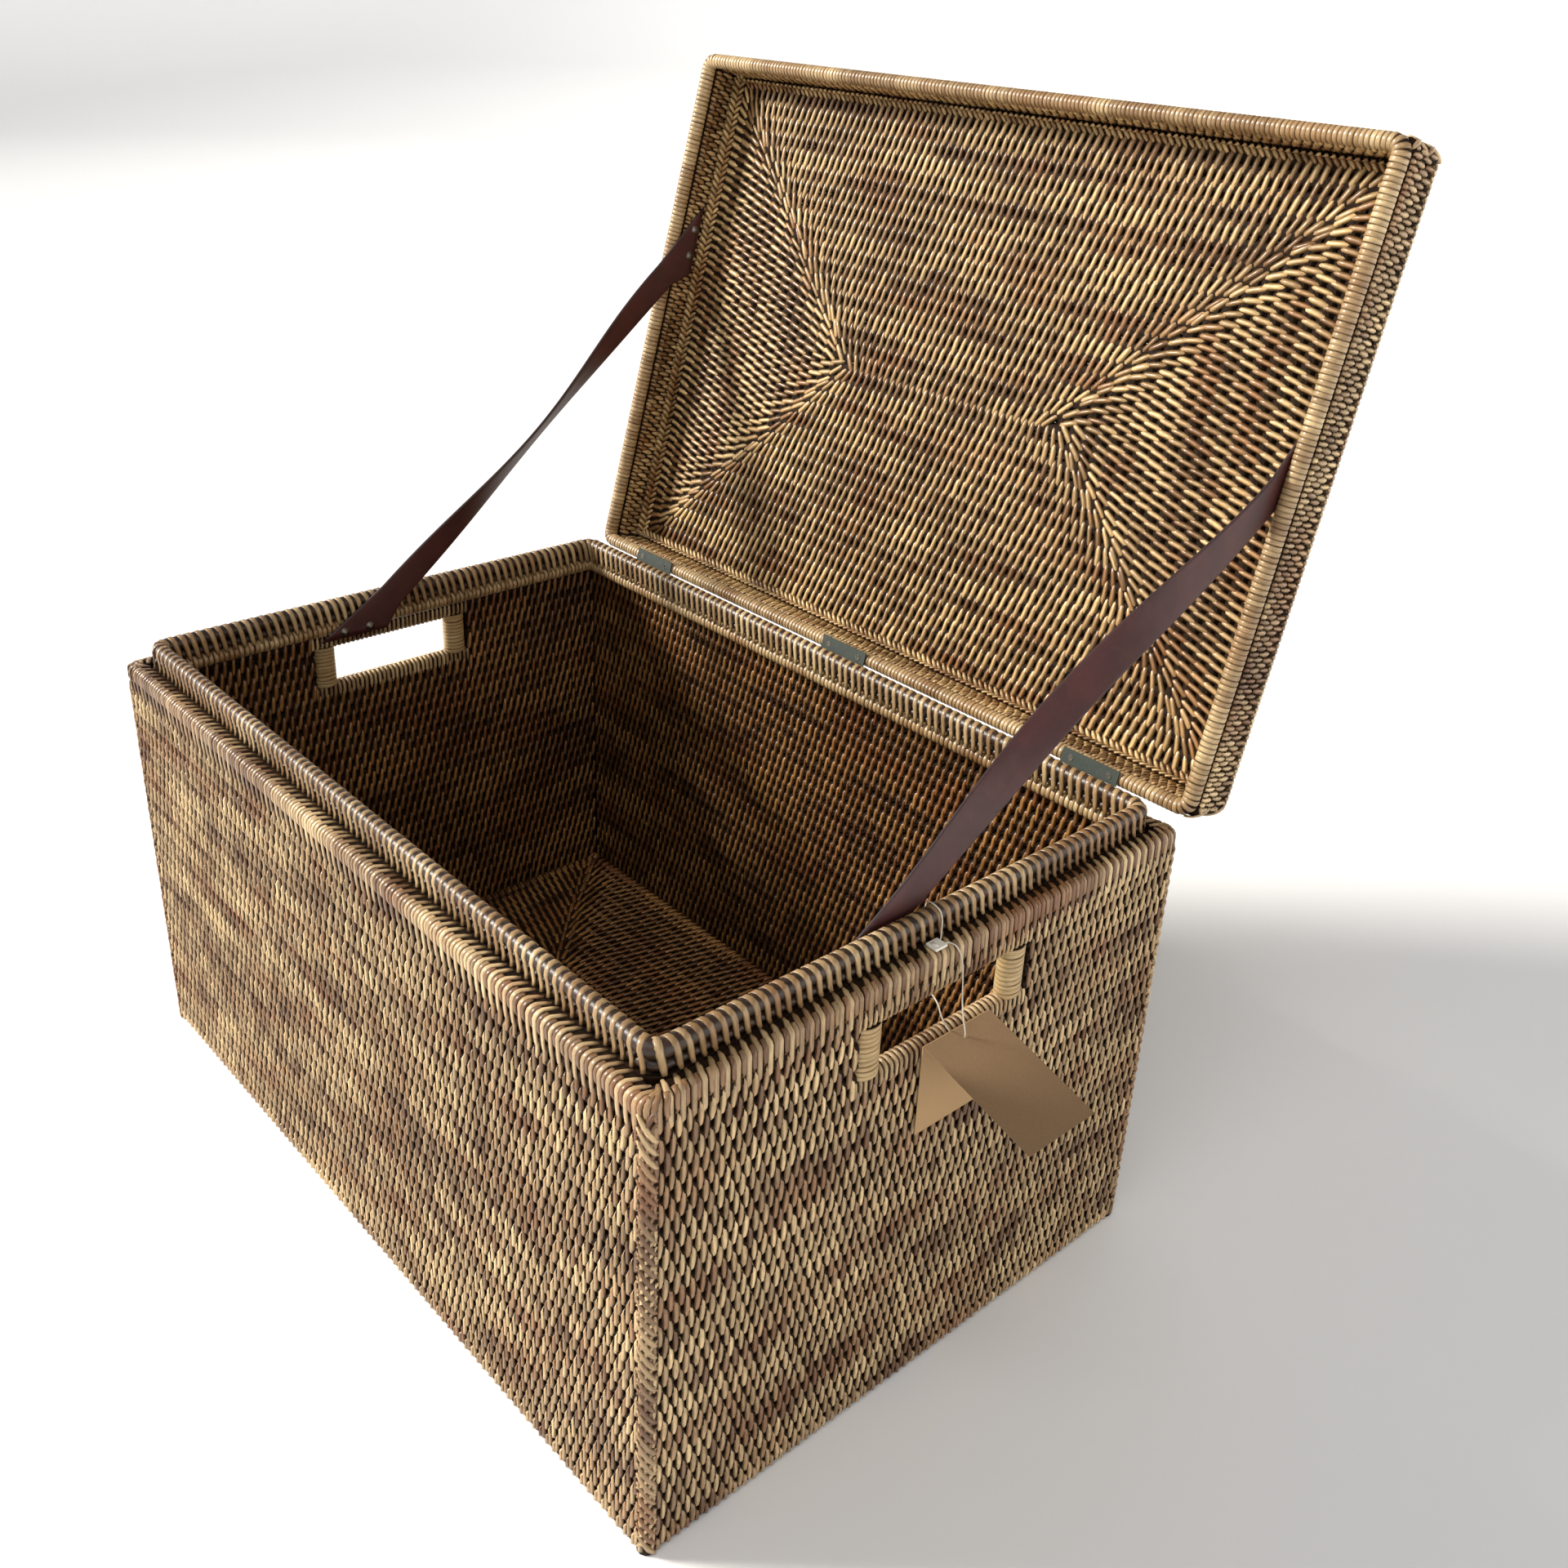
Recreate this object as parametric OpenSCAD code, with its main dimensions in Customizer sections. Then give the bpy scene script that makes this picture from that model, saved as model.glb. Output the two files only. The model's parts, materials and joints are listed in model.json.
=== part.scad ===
// Wicker storage trunk: a coiled-rattan chest with a hinged lid, two leather stay straps,
// a hand hole in each end and a folded hang tag on a string loop.
// Millimetres. X runs along the long side, +Y to the hinged back, +Z up.
// The origin is at the centre of the foot. The lid is drawn standing open.

/* [Body] */
// Length over the walls
body_w = 750; // [600:5:900]
// Depth over the walls, front to back
body_d = 500; // [400:5:600]
// Height of the shoulder that the lid closes down to
body_h = 377; // [300:1:460]
// Thickness of the woven walls
wall_t = 14; // [12:0.5:16]
// Thickness of the woven floor
floor_t = 12; // [8:0.5:13]
// Height of the foot rail
foot_h = 14; // [14:0.5:20]
// Radius of the upright outer edges
edge_r = 8; // [4:0.5:11]

/* [Rim] */
// Width of the ledge outside the upstand
ledge_w = 15; // [14.5:0.5:20]
// Height of the shoulder rail
shoulder_h = 14; // [12:0.5:18]
// Diameter of the rod along the top of the upstand
upstand_rod_d = 14; // [10:0.5:16]
// Width of the thinner rail under that rod
upstand_low_w = 9; // [6:0.5:10]
// Height of the thinner rail under that rod
upstand_low_h = 7; // [5:0.5:9]
// Height of the beaded rail inside the mouth
inner_rail_h = 13; // [10:0.5:14]
// How far the beaded rail stands in past the upstand rod
inner_rail_proud = 1; // [0.5:0.5:3]

/* [Hand holes] */
// Width of each hand hole
hole_w = 118; // [90:1:140]
// Height of each hand hole
hole_h = 33.5; // [28:0.5:42]
// Distance from the shoulder down to the top of the hole
hole_drop = 33.5; // [30:0.5:60]
// Width of the wrapped sleeve at each end of a hole
sleeve_w = 22; // [14:1:30]
// Height of the wrapped sleeve
sleeve_h = 41; // [36:0.5:50]
// How far a sleeve stands proud of each face of the wall
sleeve_proud = 1.5; // [0.5:0.1:3]
// Height of the rods that edge the hole above and below
hole_rod_h = 9; // [8:0.5:14]

/* [Lid] */
// Height of the lid over its rim and panel
lid_h = 56; // [48:1:80]
// Thickness of the lid's sides and rim
lid_t = 13; // [10:0.5:14]
// Thickness of the woven lid panel
lid_panel_t = 12; // [8:0.5:14]
// Height of the wrapped rod around the lid's opening
lid_rim_h = 14; // [12:0.5:18]
// How far the lid stands open, from closed
lid_open = 105; // [95:1:115]

/* [Hinges] */
// Length of a hinge leaf
hinge_len = 55; // [40:1:70]
// Distance of the outer hinges from the middle one
hinge_pitch = 281; // [200:1:300]
// Thickness of a hinge leaf
leaf_t = 1.2; // [0.8:0.1:1.5]
// Gap between the closed leaves
leaf_gap = 1; // [0.8:0.1:2]
// Outer radius of the hinge knuckles
knuckle_r = 3; // [2.5:0.1:3.4]
// Radius of the hinge pin
pin_r = 1.2; // [0.8:0.1:1.4]
// Radial clearance of the lid knuckles on the pin
pin_fit = 0.05; // [0.02:0.01:0.1]
// Distance from the back wall to the pin
pin_back = 3; // [3:0.5:10]
// Distance between the two screws of a leaf
screw_pitch = 38; // [24:1:44]
// Radius of a screw's head
screw_head_r = 2.8; // [2:0.1:3.2]
// Radius of a screw's shank
screw_shank_r = 1.4; // [1:0.1:1.8]
// Length of a screw's shank below the leaf
screw_len = 9; // [6:0.5:11]
// How far a screw's head stands above its leaf
screw_proud = 0.3; // [0.1:0.05:0.35]

/* [Straps] */
// Width of a leather strap
strap_w = 27; // [20:1:32]
// Thickness of a leather strap
strap_t = 2.5; // [1.5:0.1:3.5]
// Length of the slanting cut at each end of a strap
strap_cut = 68; // [55:1:80]
// How far a strap bows in towards the middle of the trunk
strap_bow = 10; // [4:1:45]
// How far a strap twists halfway along, in degrees
strap_twist = 45; // [0:1:60]
// Place of the left strap's lower tip along Y
strap_tip_left = -82; // [-120:1:-60]
// Place of the right strap's lower tip along Y
strap_tip_right = -108; // [-120:1:-100]
// Place of the left strap's upper tip along Y, with the lid closed
strap_lid_tip_left = -108; // [-130:1:-60]
// Place of the right strap's upper tip along Y, with the lid closed
strap_lid_tip_right = -74; // [-130:1:-60]
// Radius of a rivet's head
rivet_head_r = 4.5; // [3.5:0.1:5]
// Height of a rivet's domed head
rivet_head_h = 2.2; // [1.5:0.1:3]
// Radius of a rivet's shank
rivet_shank_r = 1.8; // [1.2:0.1:2.2]
// Depth that a rivet goes in behind the strap
rivet_len = 8; // [5:0.5:9]

/* [Tag] */
// Width of the folded hang tag
tag_w = 65; // [50:1:80]
// Length of the tag's front leaf
tag_front_h = 98; // [80:1:120]
// Length of the tag's back leaf
tag_back_h = 74; // [60:1:95]
// Thickness of the card
tag_t = 0.5; // [0.4:0.1:0.8]
// Angle that the front leaf stands off the back leaf
tag_open = 74; // [20:1:90]
// Radius of the string holes
tag_hole_r = 2.2; // [2:0.1:3]
// Distance from the fold to the string holes
tag_hole_drop = 7; // [6:0.5:9]
// Diameter of the string
string_d = 1; // [0.8:0.1:1.1]

/* [Hidden] */
$fn = 64;

// Half sizes and levels of the body
half_w = body_w / 2;
half_d = body_d / 2;
wall_top = body_h - shoulder_h;
wall_rise = wall_top - foot_h;
hole_top = body_h - hole_drop;
hole_mid = hole_top - hole_h / 2;
hole_bottom = hole_top - hole_h;

// The upstand and the beaded rail, measured in from the walls' outer faces
upstand_in = ledge_w + upstand_rod_d / 2;
rod_r = upstand_rod_d / 2;
rod_seat_w = 6;
inner_face_in = ledge_w + upstand_rod_d + inner_rail_proud;
inner_rail_r = inner_rail_h / 2;
rail_bend_extra = 1;

// The lid, drawn closed and then turned open about the hinge pins
lid_gap = 2 * leaf_t + leaf_gap;
lid_z = body_h + lid_gap;
lid_side_z = lid_z + lid_rim_h;
lid_side_h = lid_h - lid_rim_h - lid_panel_t;
lid_panel_z = lid_z + lid_h - lid_panel_t;
rim_round_r = 4;
edge_rail_w = 14;
edge_round_r = 6;
pin_y = half_d + pin_back;
pin_z = body_h + lid_gap / 2;

// Hinges: five knuckles, the body's leaf has the odd ones
knuckles = 5;
knuckle_slack = 0.3;
knuckle_len = hinge_len / knuckles;
leaf_edge_in = 2;
leaf_front_y = half_d - ledge_w + leaf_edge_in;
leaf_back_y = pin_y - knuckle_r - 0.5;
screw_y = half_d - lid_t / 2;

// Straps; each pair is the left one's and the right one's
strap_tips = [strap_tip_left, strap_tip_right];
strap_lid_tips = [strap_lid_tip_left, strap_lid_tip_right];
strap_body_x = half_w - inner_face_in;
strap_lid_x = half_w - lid_t;
strap_cut_z = body_h - 16;
strap_lid_cut_z = lid_z + 31;
strap_slope = 40;
strap_lid_slope = 35;
tab_run = [74, 31];
strap_rings = 24;
ribbon_slack = 0.1;
ribbon_tuck = 0.02;
rivet_in = 5.5;
rivet_from_tip = [24, 50];
rivet_hole_slack = 0.15;

// The tag hangs just off the outside of the right-hand end
tag_y = 7;
tag_fold_x = half_w + 4;
tag_fold_z = hole_bottom + 1.5;
crease_gap = 0.3;
tag_back_x = tag_fold_x - tag_t / 2 - crease_gap;

// The lock lies flat on the ledge, both ends of the string in its back face
lock_size = [10, 11, 2.4];
lock_at = [half_w - 8, -8.5, body_h + 1.5];

// The string's way, from the middle of the shoulder's outer edge: from the lock over the
// upstand, down inside the rail, out by the hand hole, through both leaves of the tag and
// back over the shoulder to the lock
string_way = [
    [-10.5, -3, 1.6], [-11.4, -1, 1.8], [-12.8, 0.8, 3.6], [-13.8, 1.8, 7], [-14.1, 2, 13],
    [-15.7, 1.5, 18.8], [-19, 0.5, 21.8], [-22.5, 0.5, 22.2], [-26.4, 1.5, 21.2],
    [-29.6, 2.5, 17], [-30.6, 3, 11], [-30.8, 3, 3], [-30.8, 3, -7], [-30.4, 2, -19],
    [-27, 0, -30], [-19, -3, -37], [-10, -6, -39.5], [-2, -8.5, -42], [1.6, -8, -50],
    [2, -3, -60], [1.7, 3, -68], [2.2, 6.4, -71.8], [4.6, 7, -72.8], [8.2, 7, -72],
    [10.8, 7, -68.6], [10.8, 7, -64], [8, 7, -54], [4.6, 8, -41], [2.8, 8.5, -26],
    [2, 7, -13], [1.6, 4.5, -5], [0, 2, 0.2], [-2.6, 0.4, 1.8], [-4.8, -0.8, 1.8],
    [-5.5, -3, 1.6]
];
string_route = [for (p = string_way) p + [half_w, 0, body_h]];
string_sides = 8;
string_splits = 2;

// ---- shapes used more than once ----

// A flat rounded rectangle, centred
module rounded_flat(w, d, r) {
    square([w - 2 * r, d], center = true);
    square([w, d - 2 * r], center = true);
    for (x = [-1, 1], y = [-1, 1])
        translate([x * (w / 2 - r), y * (d / 2 - r)]) circle(r);
}

// A ring of outer size w by d: children() is its section, drawn with X as the distance
// in from the outer face and Y as the height. bend is the radius of its outer corners.
module rail_ring(w, d, bend) {
    for (side = [0, 1]) rotate(180 * side) {
        translate([0, -d / 2, 0]) rotate([90, 0, 90])
            linear_extrude(w - 2 * bend, center = true) children();
        translate([w / 2, 0, 0]) rotate([90, 0, 180])
            linear_extrude(d - 2 * bend, center = true) children();
        for (turn = [0, 1]) {
            at = turn == 0 ? [w / 2 - bend, -d / 2 + bend] : [w / 2 - bend, d / 2 - bend];
            translate(at) rotate(turn == 0 ? -90 : 0)
                rotate_extrude(angle = 90) translate([bend, 0]) mirror([1, 0]) children();
        }
    }
}

// A section w by h with its corners on the chosen sides rounded to r
module rail_section(w, h, r, outer_low = false, outer_high = false, inner_low = false) {
    difference() {
        square([w, h]);
        if (outer_low) square([r, r]);
        if (outer_high) translate([0, h - r]) square([r, r]);
        if (inner_low) translate([w - r, 0]) square([r, r]);
    }
    if (outer_low) translate([r, r]) circle(r);
    if (outer_high) translate([r, h - r]) circle(r);
    if (inner_low) translate([w - r, r]) circle(r);
}

// A corner post with a rounded outer edge; sx and sy say which corner
module corner_post(sx, sy, z, h, t) {
    translate([sx * half_w, sy * half_d, z]) mirror([sx > 0 ? 1 : 0, 0])
        mirror([0, sy > 0 ? 1 : 0]) linear_extrude(h) {
            translate([edge_r, 0]) square([t - edge_r, t]);
            translate([0, edge_r]) square([t, t - edge_r]);
            intersection() {
                translate([edge_r, edge_r]) circle(edge_r);
                square(edge_r);
            }
        }
}

// A flat woven side between two corner posts
module long_side(sy, z, h, t) {
    translate([0, sy * (half_d - t / 2), z + h / 2])
        cube([body_w - 2 * t, t, h], center = true);
}

module short_side(sx, z, h, t) {
    translate([sx * (half_w - t / 2), 0, z + h / 2])
        cube([t, body_d - 2 * t, h], center = true);
}

// Turns a piece drawn on the closed lid to where it stands open
module opened() {
    translate([0, pin_y, pin_z]) rotate([-lid_open, 0, 0]) translate([0, -pin_y, -pin_z])
        children();
}

// ---- the body ----

module foot_rail() {
    color("peru") linear_extrude(foot_h) difference() {
        rounded_flat(body_w, body_d, edge_r);
        square([body_w - 2 * wall_t, body_d - 2 * wall_t], center = true);
    }
}

module floor_panel() {
    color("peru") translate([0, 0, floor_t / 2])
        cube([body_w - 2 * wall_t, body_d - 2 * wall_t, floor_t], center = true);
}

module wall_long(sy) { color("burlywood") long_side(sy, foot_h, wall_rise, wall_t); }

module wall_end(sx) {
    mid = [sx * (half_w - wall_t / 2), 0, hole_mid];
    color("burlywood") difference() {
        short_side(sx, foot_h, wall_rise, wall_t);
        translate(mid) cube([2 * wall_t, hole_w, hole_h + 2 * hole_rod_h], center = true);
        translate(mid) cube([2 * wall_t, hole_w + 2 * sleeve_w, sleeve_h], center = true);
    }
}

module body_post(sx, sy) { color("tan") corner_post(sx, sy, foot_h, wall_rise, wall_t); }

// Places children at each screw of each hinge
module at_screws() {
    for (k = [-1:1], s = [-1, 1])
        translate([k * hinge_pitch + s * screw_pitch / 2, screw_y, 0]) children();
}

// Places children behind each rivet of both straps, X pointing into the wall
module at_rivets(face_x, tips, z) {
    for (side = [0, 1], d = rivet_from_tip) mirror([1 - side, 0, 0])
        translate([face_x, tips[side] + d, z]) rotate([0, 90, 0]) children();
}

module shoulder_rail() {
    color("burlywood") difference() {
        translate([0, 0, wall_top]) rail_ring(body_w, body_d, wall_t + rail_bend_extra)
            rail_section(wall_t, shoulder_h, edge_round_r, outer_high = true);
        at_screws() translate([0, 0, body_h - screw_len])
            cylinder(r = screw_shank_r, h = screw_len + 1);
    }
}

// The beaded rail: round inside, its flat back against the shoulder rail
module inner_rail() {
    back_in = wall_t;
    color("wheat") difference() {
        translate([0, 0, body_h - inner_rail_h])
            rail_ring(body_w, body_d, inner_face_in + rail_bend_extra) {
                translate([back_in, 0])
                    square([inner_face_in - inner_rail_r - back_in, inner_rail_h]);
                translate([inner_face_in - inner_rail_r, inner_rail_r]) circle(inner_rail_r);
            }
        at_rivets(strap_body_x, strap_tips, strap_cut_z + rivet_in)
            cylinder(r = rivet_shank_r, h = rivet_len);
    }
}

module upstand_low_rail() {
    color("saddlebrown") translate([0, 0, body_h])
        rail_ring(body_w, body_d, inner_face_in + rail_bend_extra)
            translate([upstand_in - upstand_low_w / 2, 0])
                square([upstand_low_w, upstand_low_h]);
}

module upstand_rail() {
    color("saddlebrown") translate([0, 0, body_h + upstand_low_h])
        rail_ring(body_w, body_d, inner_face_in + rail_bend_extra) {
            translate([upstand_in, rod_r]) circle(rod_r);
            translate([upstand_in - rod_seat_w / 2, 0]) square([rod_seat_w, rod_r]);
        }
}

module sleeve(sx, sy) {
    round_r = 4;
    color("wheat")
        translate([sx * (half_w - wall_t / 2), sy * (hole_w + sleeve_w) / 2, hole_mid])
            linear_extrude(sleeve_h, center = true)
                rounded_flat(wall_t + 2 * sleeve_proud, sleeve_w, round_r);
}

// The rod along the lower or upper edge of a hand hole; its side to the hole is round
module hole_rod(sx, up) {
    round_r = wall_t / 2;
    color("tan") translate([sx * (half_w - wall_t / 2), 0, hole_mid])
        mirror([0, 0, up ? 0 : 1]) translate([0, 0, hole_h / 2]) rotate([90, 0, 0])
            linear_extrude(hole_w, center = true) intersection() {
                union() {
                    translate([0, round_r]) circle(round_r);
                    translate([-round_r, round_r]) square([wall_t, hole_rod_h]);
                }
                translate([-round_r, 0]) square([wall_t, hole_rod_h]);
            }
}

// ---- hinges ----

// One leaf lying flat, its knuckles round the pin; odd says which knuckles it has
module leaf_blank(k, odd, plate_z, bore) {
    x0 = k * hinge_pitch - hinge_len / 2;
    slack = knuckle_slack / 2;
    difference() {
        union() {
            translate([x0, leaf_front_y, plate_z])
                cube([hinge_len, leaf_back_y - leaf_front_y, leaf_t]);
            for (i = [0:knuckles - 1]) if (i % 2 == (odd ? 1 : 0))
                translate([x0 + i * knuckle_len + slack, 0, 0]) {
                    translate([0, leaf_back_y - 1, plate_z])
                        cube([knuckle_len - 2 * slack, pin_y - leaf_back_y + 1, leaf_t]);
                    translate([0, pin_y, pin_z]) rotate([0, 90, 0])
                        cylinder(r = knuckle_r, h = knuckle_len - 2 * slack);
                }
        }
        translate([x0 - 1, pin_y, pin_z]) rotate([0, 90, 0])
            cylinder(r = bore, h = hinge_len + 2);
        for (s = [-1, 1])
            translate([k * hinge_pitch + s * screw_pitch / 2, screw_y, plate_z - 1])
                cylinder(r = screw_head_r, h = leaf_t + 2);
    }
}

module hinge_leaf_body(k) {
    color("slategray") leaf_blank(k, false, body_h, pin_r);
}

module hinge_leaf_lid(k) {
    color("slategray") opened() leaf_blank(k, true, lid_z - leaf_t, pin_r + pin_fit);
}

module hinge_pin(k) {
    color("slategray")
        translate([k * hinge_pitch - hinge_len / 2, pin_y, pin_z]) rotate([0, 90, 0])
            cylinder(r = pin_r, h = hinge_len);
}

// A screw standing on its shank, the top of the leaf at z = 0
module screw() {
    slot = [3.2, 0.7];
    difference() {
        union() {
            translate([0, 0, -leaf_t]) cylinder(r = screw_head_r, h = leaf_t + screw_proud);
            translate([0, 0, -leaf_t - screw_len]) cylinder(r = screw_shank_r, h = screw_len + 1);
        }
        for (turn = [45, 135]) rotate(turn) translate([0, 0, screw_proud])
            cube([slot[0], slot[1], 1], center = true);
    }
}

module hinge_screws_body() {
    color("silver") at_screws() translate([0, 0, body_h + leaf_t]) screw();
}

module hinge_screws_lid() {
    color("silver") opened()
        at_screws() translate([0, 0, lid_z - leaf_t]) mirror([0, 0, 1]) screw();
}

// ---- straps ----

// A point (y, z) of the closed lid, turned open
function opened_yz(p) = let (v = p - [pin_y, pin_z])
    [pin_y + v[0] * cos(lid_open) + v[1] * sin(lid_open),
     pin_z - v[0] * sin(lid_open) + v[1] * cos(lid_open)];

// A strap's end: a slanting cut along its foot, narrowing to the strap's own width
module strap_tab() {
    across = strap_w / 2 * [-sin(strap_slope), cos(strap_slope)];
    polygon([[0, 0], [strap_cut, 0], tab_run - across, tab_run + across]);
}

// Where the free length of a strap starts and ends; side is 0 on the left and 1 on the right
ribbon_starts = [for (tip = strap_tips) [tip, strap_cut_z] + tab_run];
ribbon_ends = [for (tip = strap_lid_tips)
    opened_yz([tip, strap_lid_cut_z] + [tab_run[0], -tab_run[1]])];

// How far along its bow and its twist the strap is: 0 at both ends and 1 halfway
function swell(s) = pow(sin(180 * s), 2);

function ribbon_middle(side, s) =
    let (yz = ribbon_starts[side] + s * (ribbon_ends[side] - ribbon_starts[side]),
         x0 = strap_body_x - strap_t / 2, x1 = strap_lid_x - strap_t / 2,
         eased = s * s * (3 - 2 * s))
    [x0 + (x1 - x0) * eased - strap_bow * swell(s), yz[0], yz[1]];

// The four corners of the strap at s, going round it
function ribbon_ring(side, s) =
    let (step = 0.001,
         ahead = ribbon_middle(side, s + step) - ribbon_middle(side, s - step),
         along = ahead / norm(ahead),
         slope = strap_slope + s * (strap_lid_slope - strap_slope),
         twist = strap_twist * swell(s),
         flat_way = [-sin(twist), -sin(slope) * cos(twist), cos(slope) * cos(twist)],
         square_way = flat_way - (flat_way * along) * along,
         across = square_way / norm(square_way) * strap_w / 2,
         out = cross(along, across) / strap_w * 2 * (strap_t / 2 - ribbon_slack))
    [for (c = [[1, 1], [1, -1], [-1, -1], [-1, 1]])
        ribbon_middle(side, s) + c[0] * across + c[1] * out];

// Triangles round a tube of rings with n corners each, and over its two ends
function tube_faces(rings, n) = concat(
    [for (i = [0:rings - 2], j = [0:n - 1]) let (a = i * n + j, b = i * n + (j + 1) % n)
        [a, b, b + n]],
    [for (i = [0:rings - 2], j = [0:n - 1]) let (a = i * n + j, b = i * n + (j + 1) % n)
        [a, b + n, a + n]],
    [for (j = [1:n - 2]) [0, j + 1, j]],
    [for (j = [1:n - 2]) let (e = (rings - 1) * n) [e, e + j, e + j + 1]]);

module ribbon(side) {
    rings = [for (i = [0:strap_rings])
        ribbon_ring(side, -ribbon_tuck + (1 + 2 * ribbon_tuck) * i / strap_rings)];
    polyhedron([for (r = rings) each r], tube_faces(len(rings), 4));
}

// The bores for one strap's two rivets
module strap_holes(face_x, tip_y, z, r) {
    for (d = rivet_from_tip) translate([face_x - strap_t - 1, tip_y + d, z])
        rotate([0, 90, 0]) cylinder(r = r, h = strap_t + 2);
}

// A strap as it lies on the right-hand side
module strap(side) {
    hole_r = rivet_shank_r + rivet_hole_slack;
    difference() {
        translate([strap_body_x - strap_t, strap_tips[side], strap_cut_z])
            rotate([90, 0, 90]) linear_extrude(strap_t) strap_tab();
        strap_holes(strap_body_x, strap_tips[side], strap_cut_z + rivet_in, rivet_shank_r);
    }
    opened() difference() {
        translate([strap_lid_x - strap_t, strap_lid_tips[side], strap_lid_cut_z])
            mirror([0, 0, 1]) rotate([90, 0, 90]) linear_extrude(strap_t) strap_tab();
        strap_holes(strap_lid_x, strap_lid_tips[side], strap_lid_cut_z - rivet_in, hole_r);
    }
    ribbon(side);
}

module strap_side(side) { color("#5f3c3e") mirror([1 - side, 0, 0]) strap(side); }

// A domed rivet along +Z: the strap lies between z = -strap_t and 0
module rivet(lift) {
    dome_r = (pow(rivet_head_r, 2) + pow(rivet_head_h, 2)) / (2 * rivet_head_h);
    translate([0, 0, -strap_t - lift]) rotate_extrude() intersection() {
        translate([0, dome_r - rivet_head_h]) circle(dome_r);
        translate([0, -rivet_head_h]) square([rivet_head_r, rivet_head_h]);
    }
    translate([0, 0, -strap_t - lift]) cylinder(r = rivet_shank_r, h = strap_t + lift + rivet_len);
}

module strap_rivets_body() {
    color("dimgray")
        at_rivets(strap_body_x, strap_tips, strap_cut_z + rivet_in) rivet(0);
}

module strap_rivets_lid() {
    lift = 0.3;
    color("dimgray") opened()
        at_rivets(strap_lid_x, strap_lid_tips, strap_lid_cut_z - rivet_in) rivet(lift);
}

// ---- the lid ----

module lid_rim_rail() {
    color("wheat") opened() difference() {
        translate([0, 0, lid_z]) rail_ring(body_w, body_d, lid_t + rail_bend_extra)
            rail_section(lid_t, lid_rim_h, rim_round_r, outer_low = true, inner_low = true);
        at_screws() translate([0, 0, lid_z - 1]) cylinder(r = screw_shank_r, h = screw_len + 1);
    }
}

module lid_long(sy) { color("burlywood") opened() long_side(sy, lid_side_z, lid_side_h, lid_t); }

module lid_end(sx) {
    color("burlywood") opened() difference() {
        short_side(sx, lid_side_z, lid_side_h, lid_t);
        at_rivets(strap_lid_x, strap_lid_tips, strap_lid_cut_z - rivet_in)
            cylinder(r = rivet_shank_r, h = rivet_len);
    }
}

module lid_post(sx, sy) {
    color("tan") opened() corner_post(sx, sy, lid_side_z, lid_side_h, lid_t);
}

module lid_edge_rail() {
    color("tan") opened() translate([0, 0, lid_panel_z])
        rail_ring(body_w, body_d, edge_rail_w + rail_bend_extra)
            rail_section(edge_rail_w, lid_panel_t, edge_round_r, outer_high = true);
}

module lid_panel() {
    inner = [body_w - 2 * edge_rail_w, body_d - 2 * edge_rail_w];
    color("peru") opened() translate([0, 0, lid_panel_z])
        linear_extrude(lid_panel_t) rounded_flat(inner[0], inner[1], rail_bend_extra);
}

// ---- the tag ----

module tag_back_leaf() {
    color("#d2aa78") difference() {
        translate([tag_back_x - tag_t, tag_y - tag_w / 2, tag_fold_z - tag_back_h])
            cube([tag_t, tag_w, tag_back_h]);
        translate([tag_back_x - 2, tag_y, tag_fold_z - tag_hole_drop]) rotate([0, 90, 0])
            cylinder(r = tag_hole_r, h = 4);
    }
}

// The front leaf turns about the round edge of its fold
module tag_front_leaf() {
    color("#a5825f") translate([tag_fold_x, tag_y, tag_fold_z]) rotate([0, -tag_open, 0]) {
        difference() {
            translate([-tag_t / 2, -tag_w / 2, -tag_front_h]) cube([tag_t, tag_w, tag_front_h]);
            translate([-1, 0, -tag_hole_drop]) rotate([0, 90, 0])
                cylinder(r = tag_hole_r, h = 2);
        }
        rotate([90, 0, 0]) cylinder(r = tag_t / 2, h = tag_w, center = true);
    }
}

module tag_lock() { color("ivory") translate(lock_at) cube(lock_size, center = true); }

// A point on the smooth curve through the route, u counted in route points
function route_at(u) =
    let (last = len(string_route) - 1, i = min(floor(u), last - 1), t = u - i,
         p1 = string_route[i], p2 = string_route[i + 1],
         p0 = i > 0 ? string_route[i - 1] : 2 * p1 - p2,
         p3 = i + 2 <= last ? string_route[i + 2] : 2 * p2 - p1)
    (2 * p1 + (p2 - p0) * t + (2 * p0 - 5 * p1 + 4 * p2 - p3) * t * t
        + (3 * p1 - p0 - 3 * p2 + p3) * t * t * t) / 2;

function unit(v) = v / norm(v);
function squared(v, along) = unit(v - (v * along) * along);

// Both ends point along -Y or +Y, so that they lie flat on the lock
module tag_string() {
    steps = (len(string_route) - 1) * string_splits;
    line = [for (i = [0:steps]) route_at(i / string_splits)];
    ways = [for (i = [0:steps])
        i == 0 ? [0, 1, 0] : i == steps ? [0, -1, 0] : unit(line[i + 1] - line[i - 1])];
    sides = [for (i = 0, v = [0, 0, 1]; i <= steps;
        i = i + 1, v = i <= steps ? squared(v, ways[i]) : v) v];
    points = [for (i = [0:steps], j = [0:string_sides - 1])
        let (a = 360 * j / string_sides)
        line[i] + string_d / 2 * (cos(a) * sides[i] + sin(a) * cross(ways[i], sides[i]))];
    color("ivory") polyhedron(points, tube_faces(steps + 1, string_sides));
}

// ---- the parts ----

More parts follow.
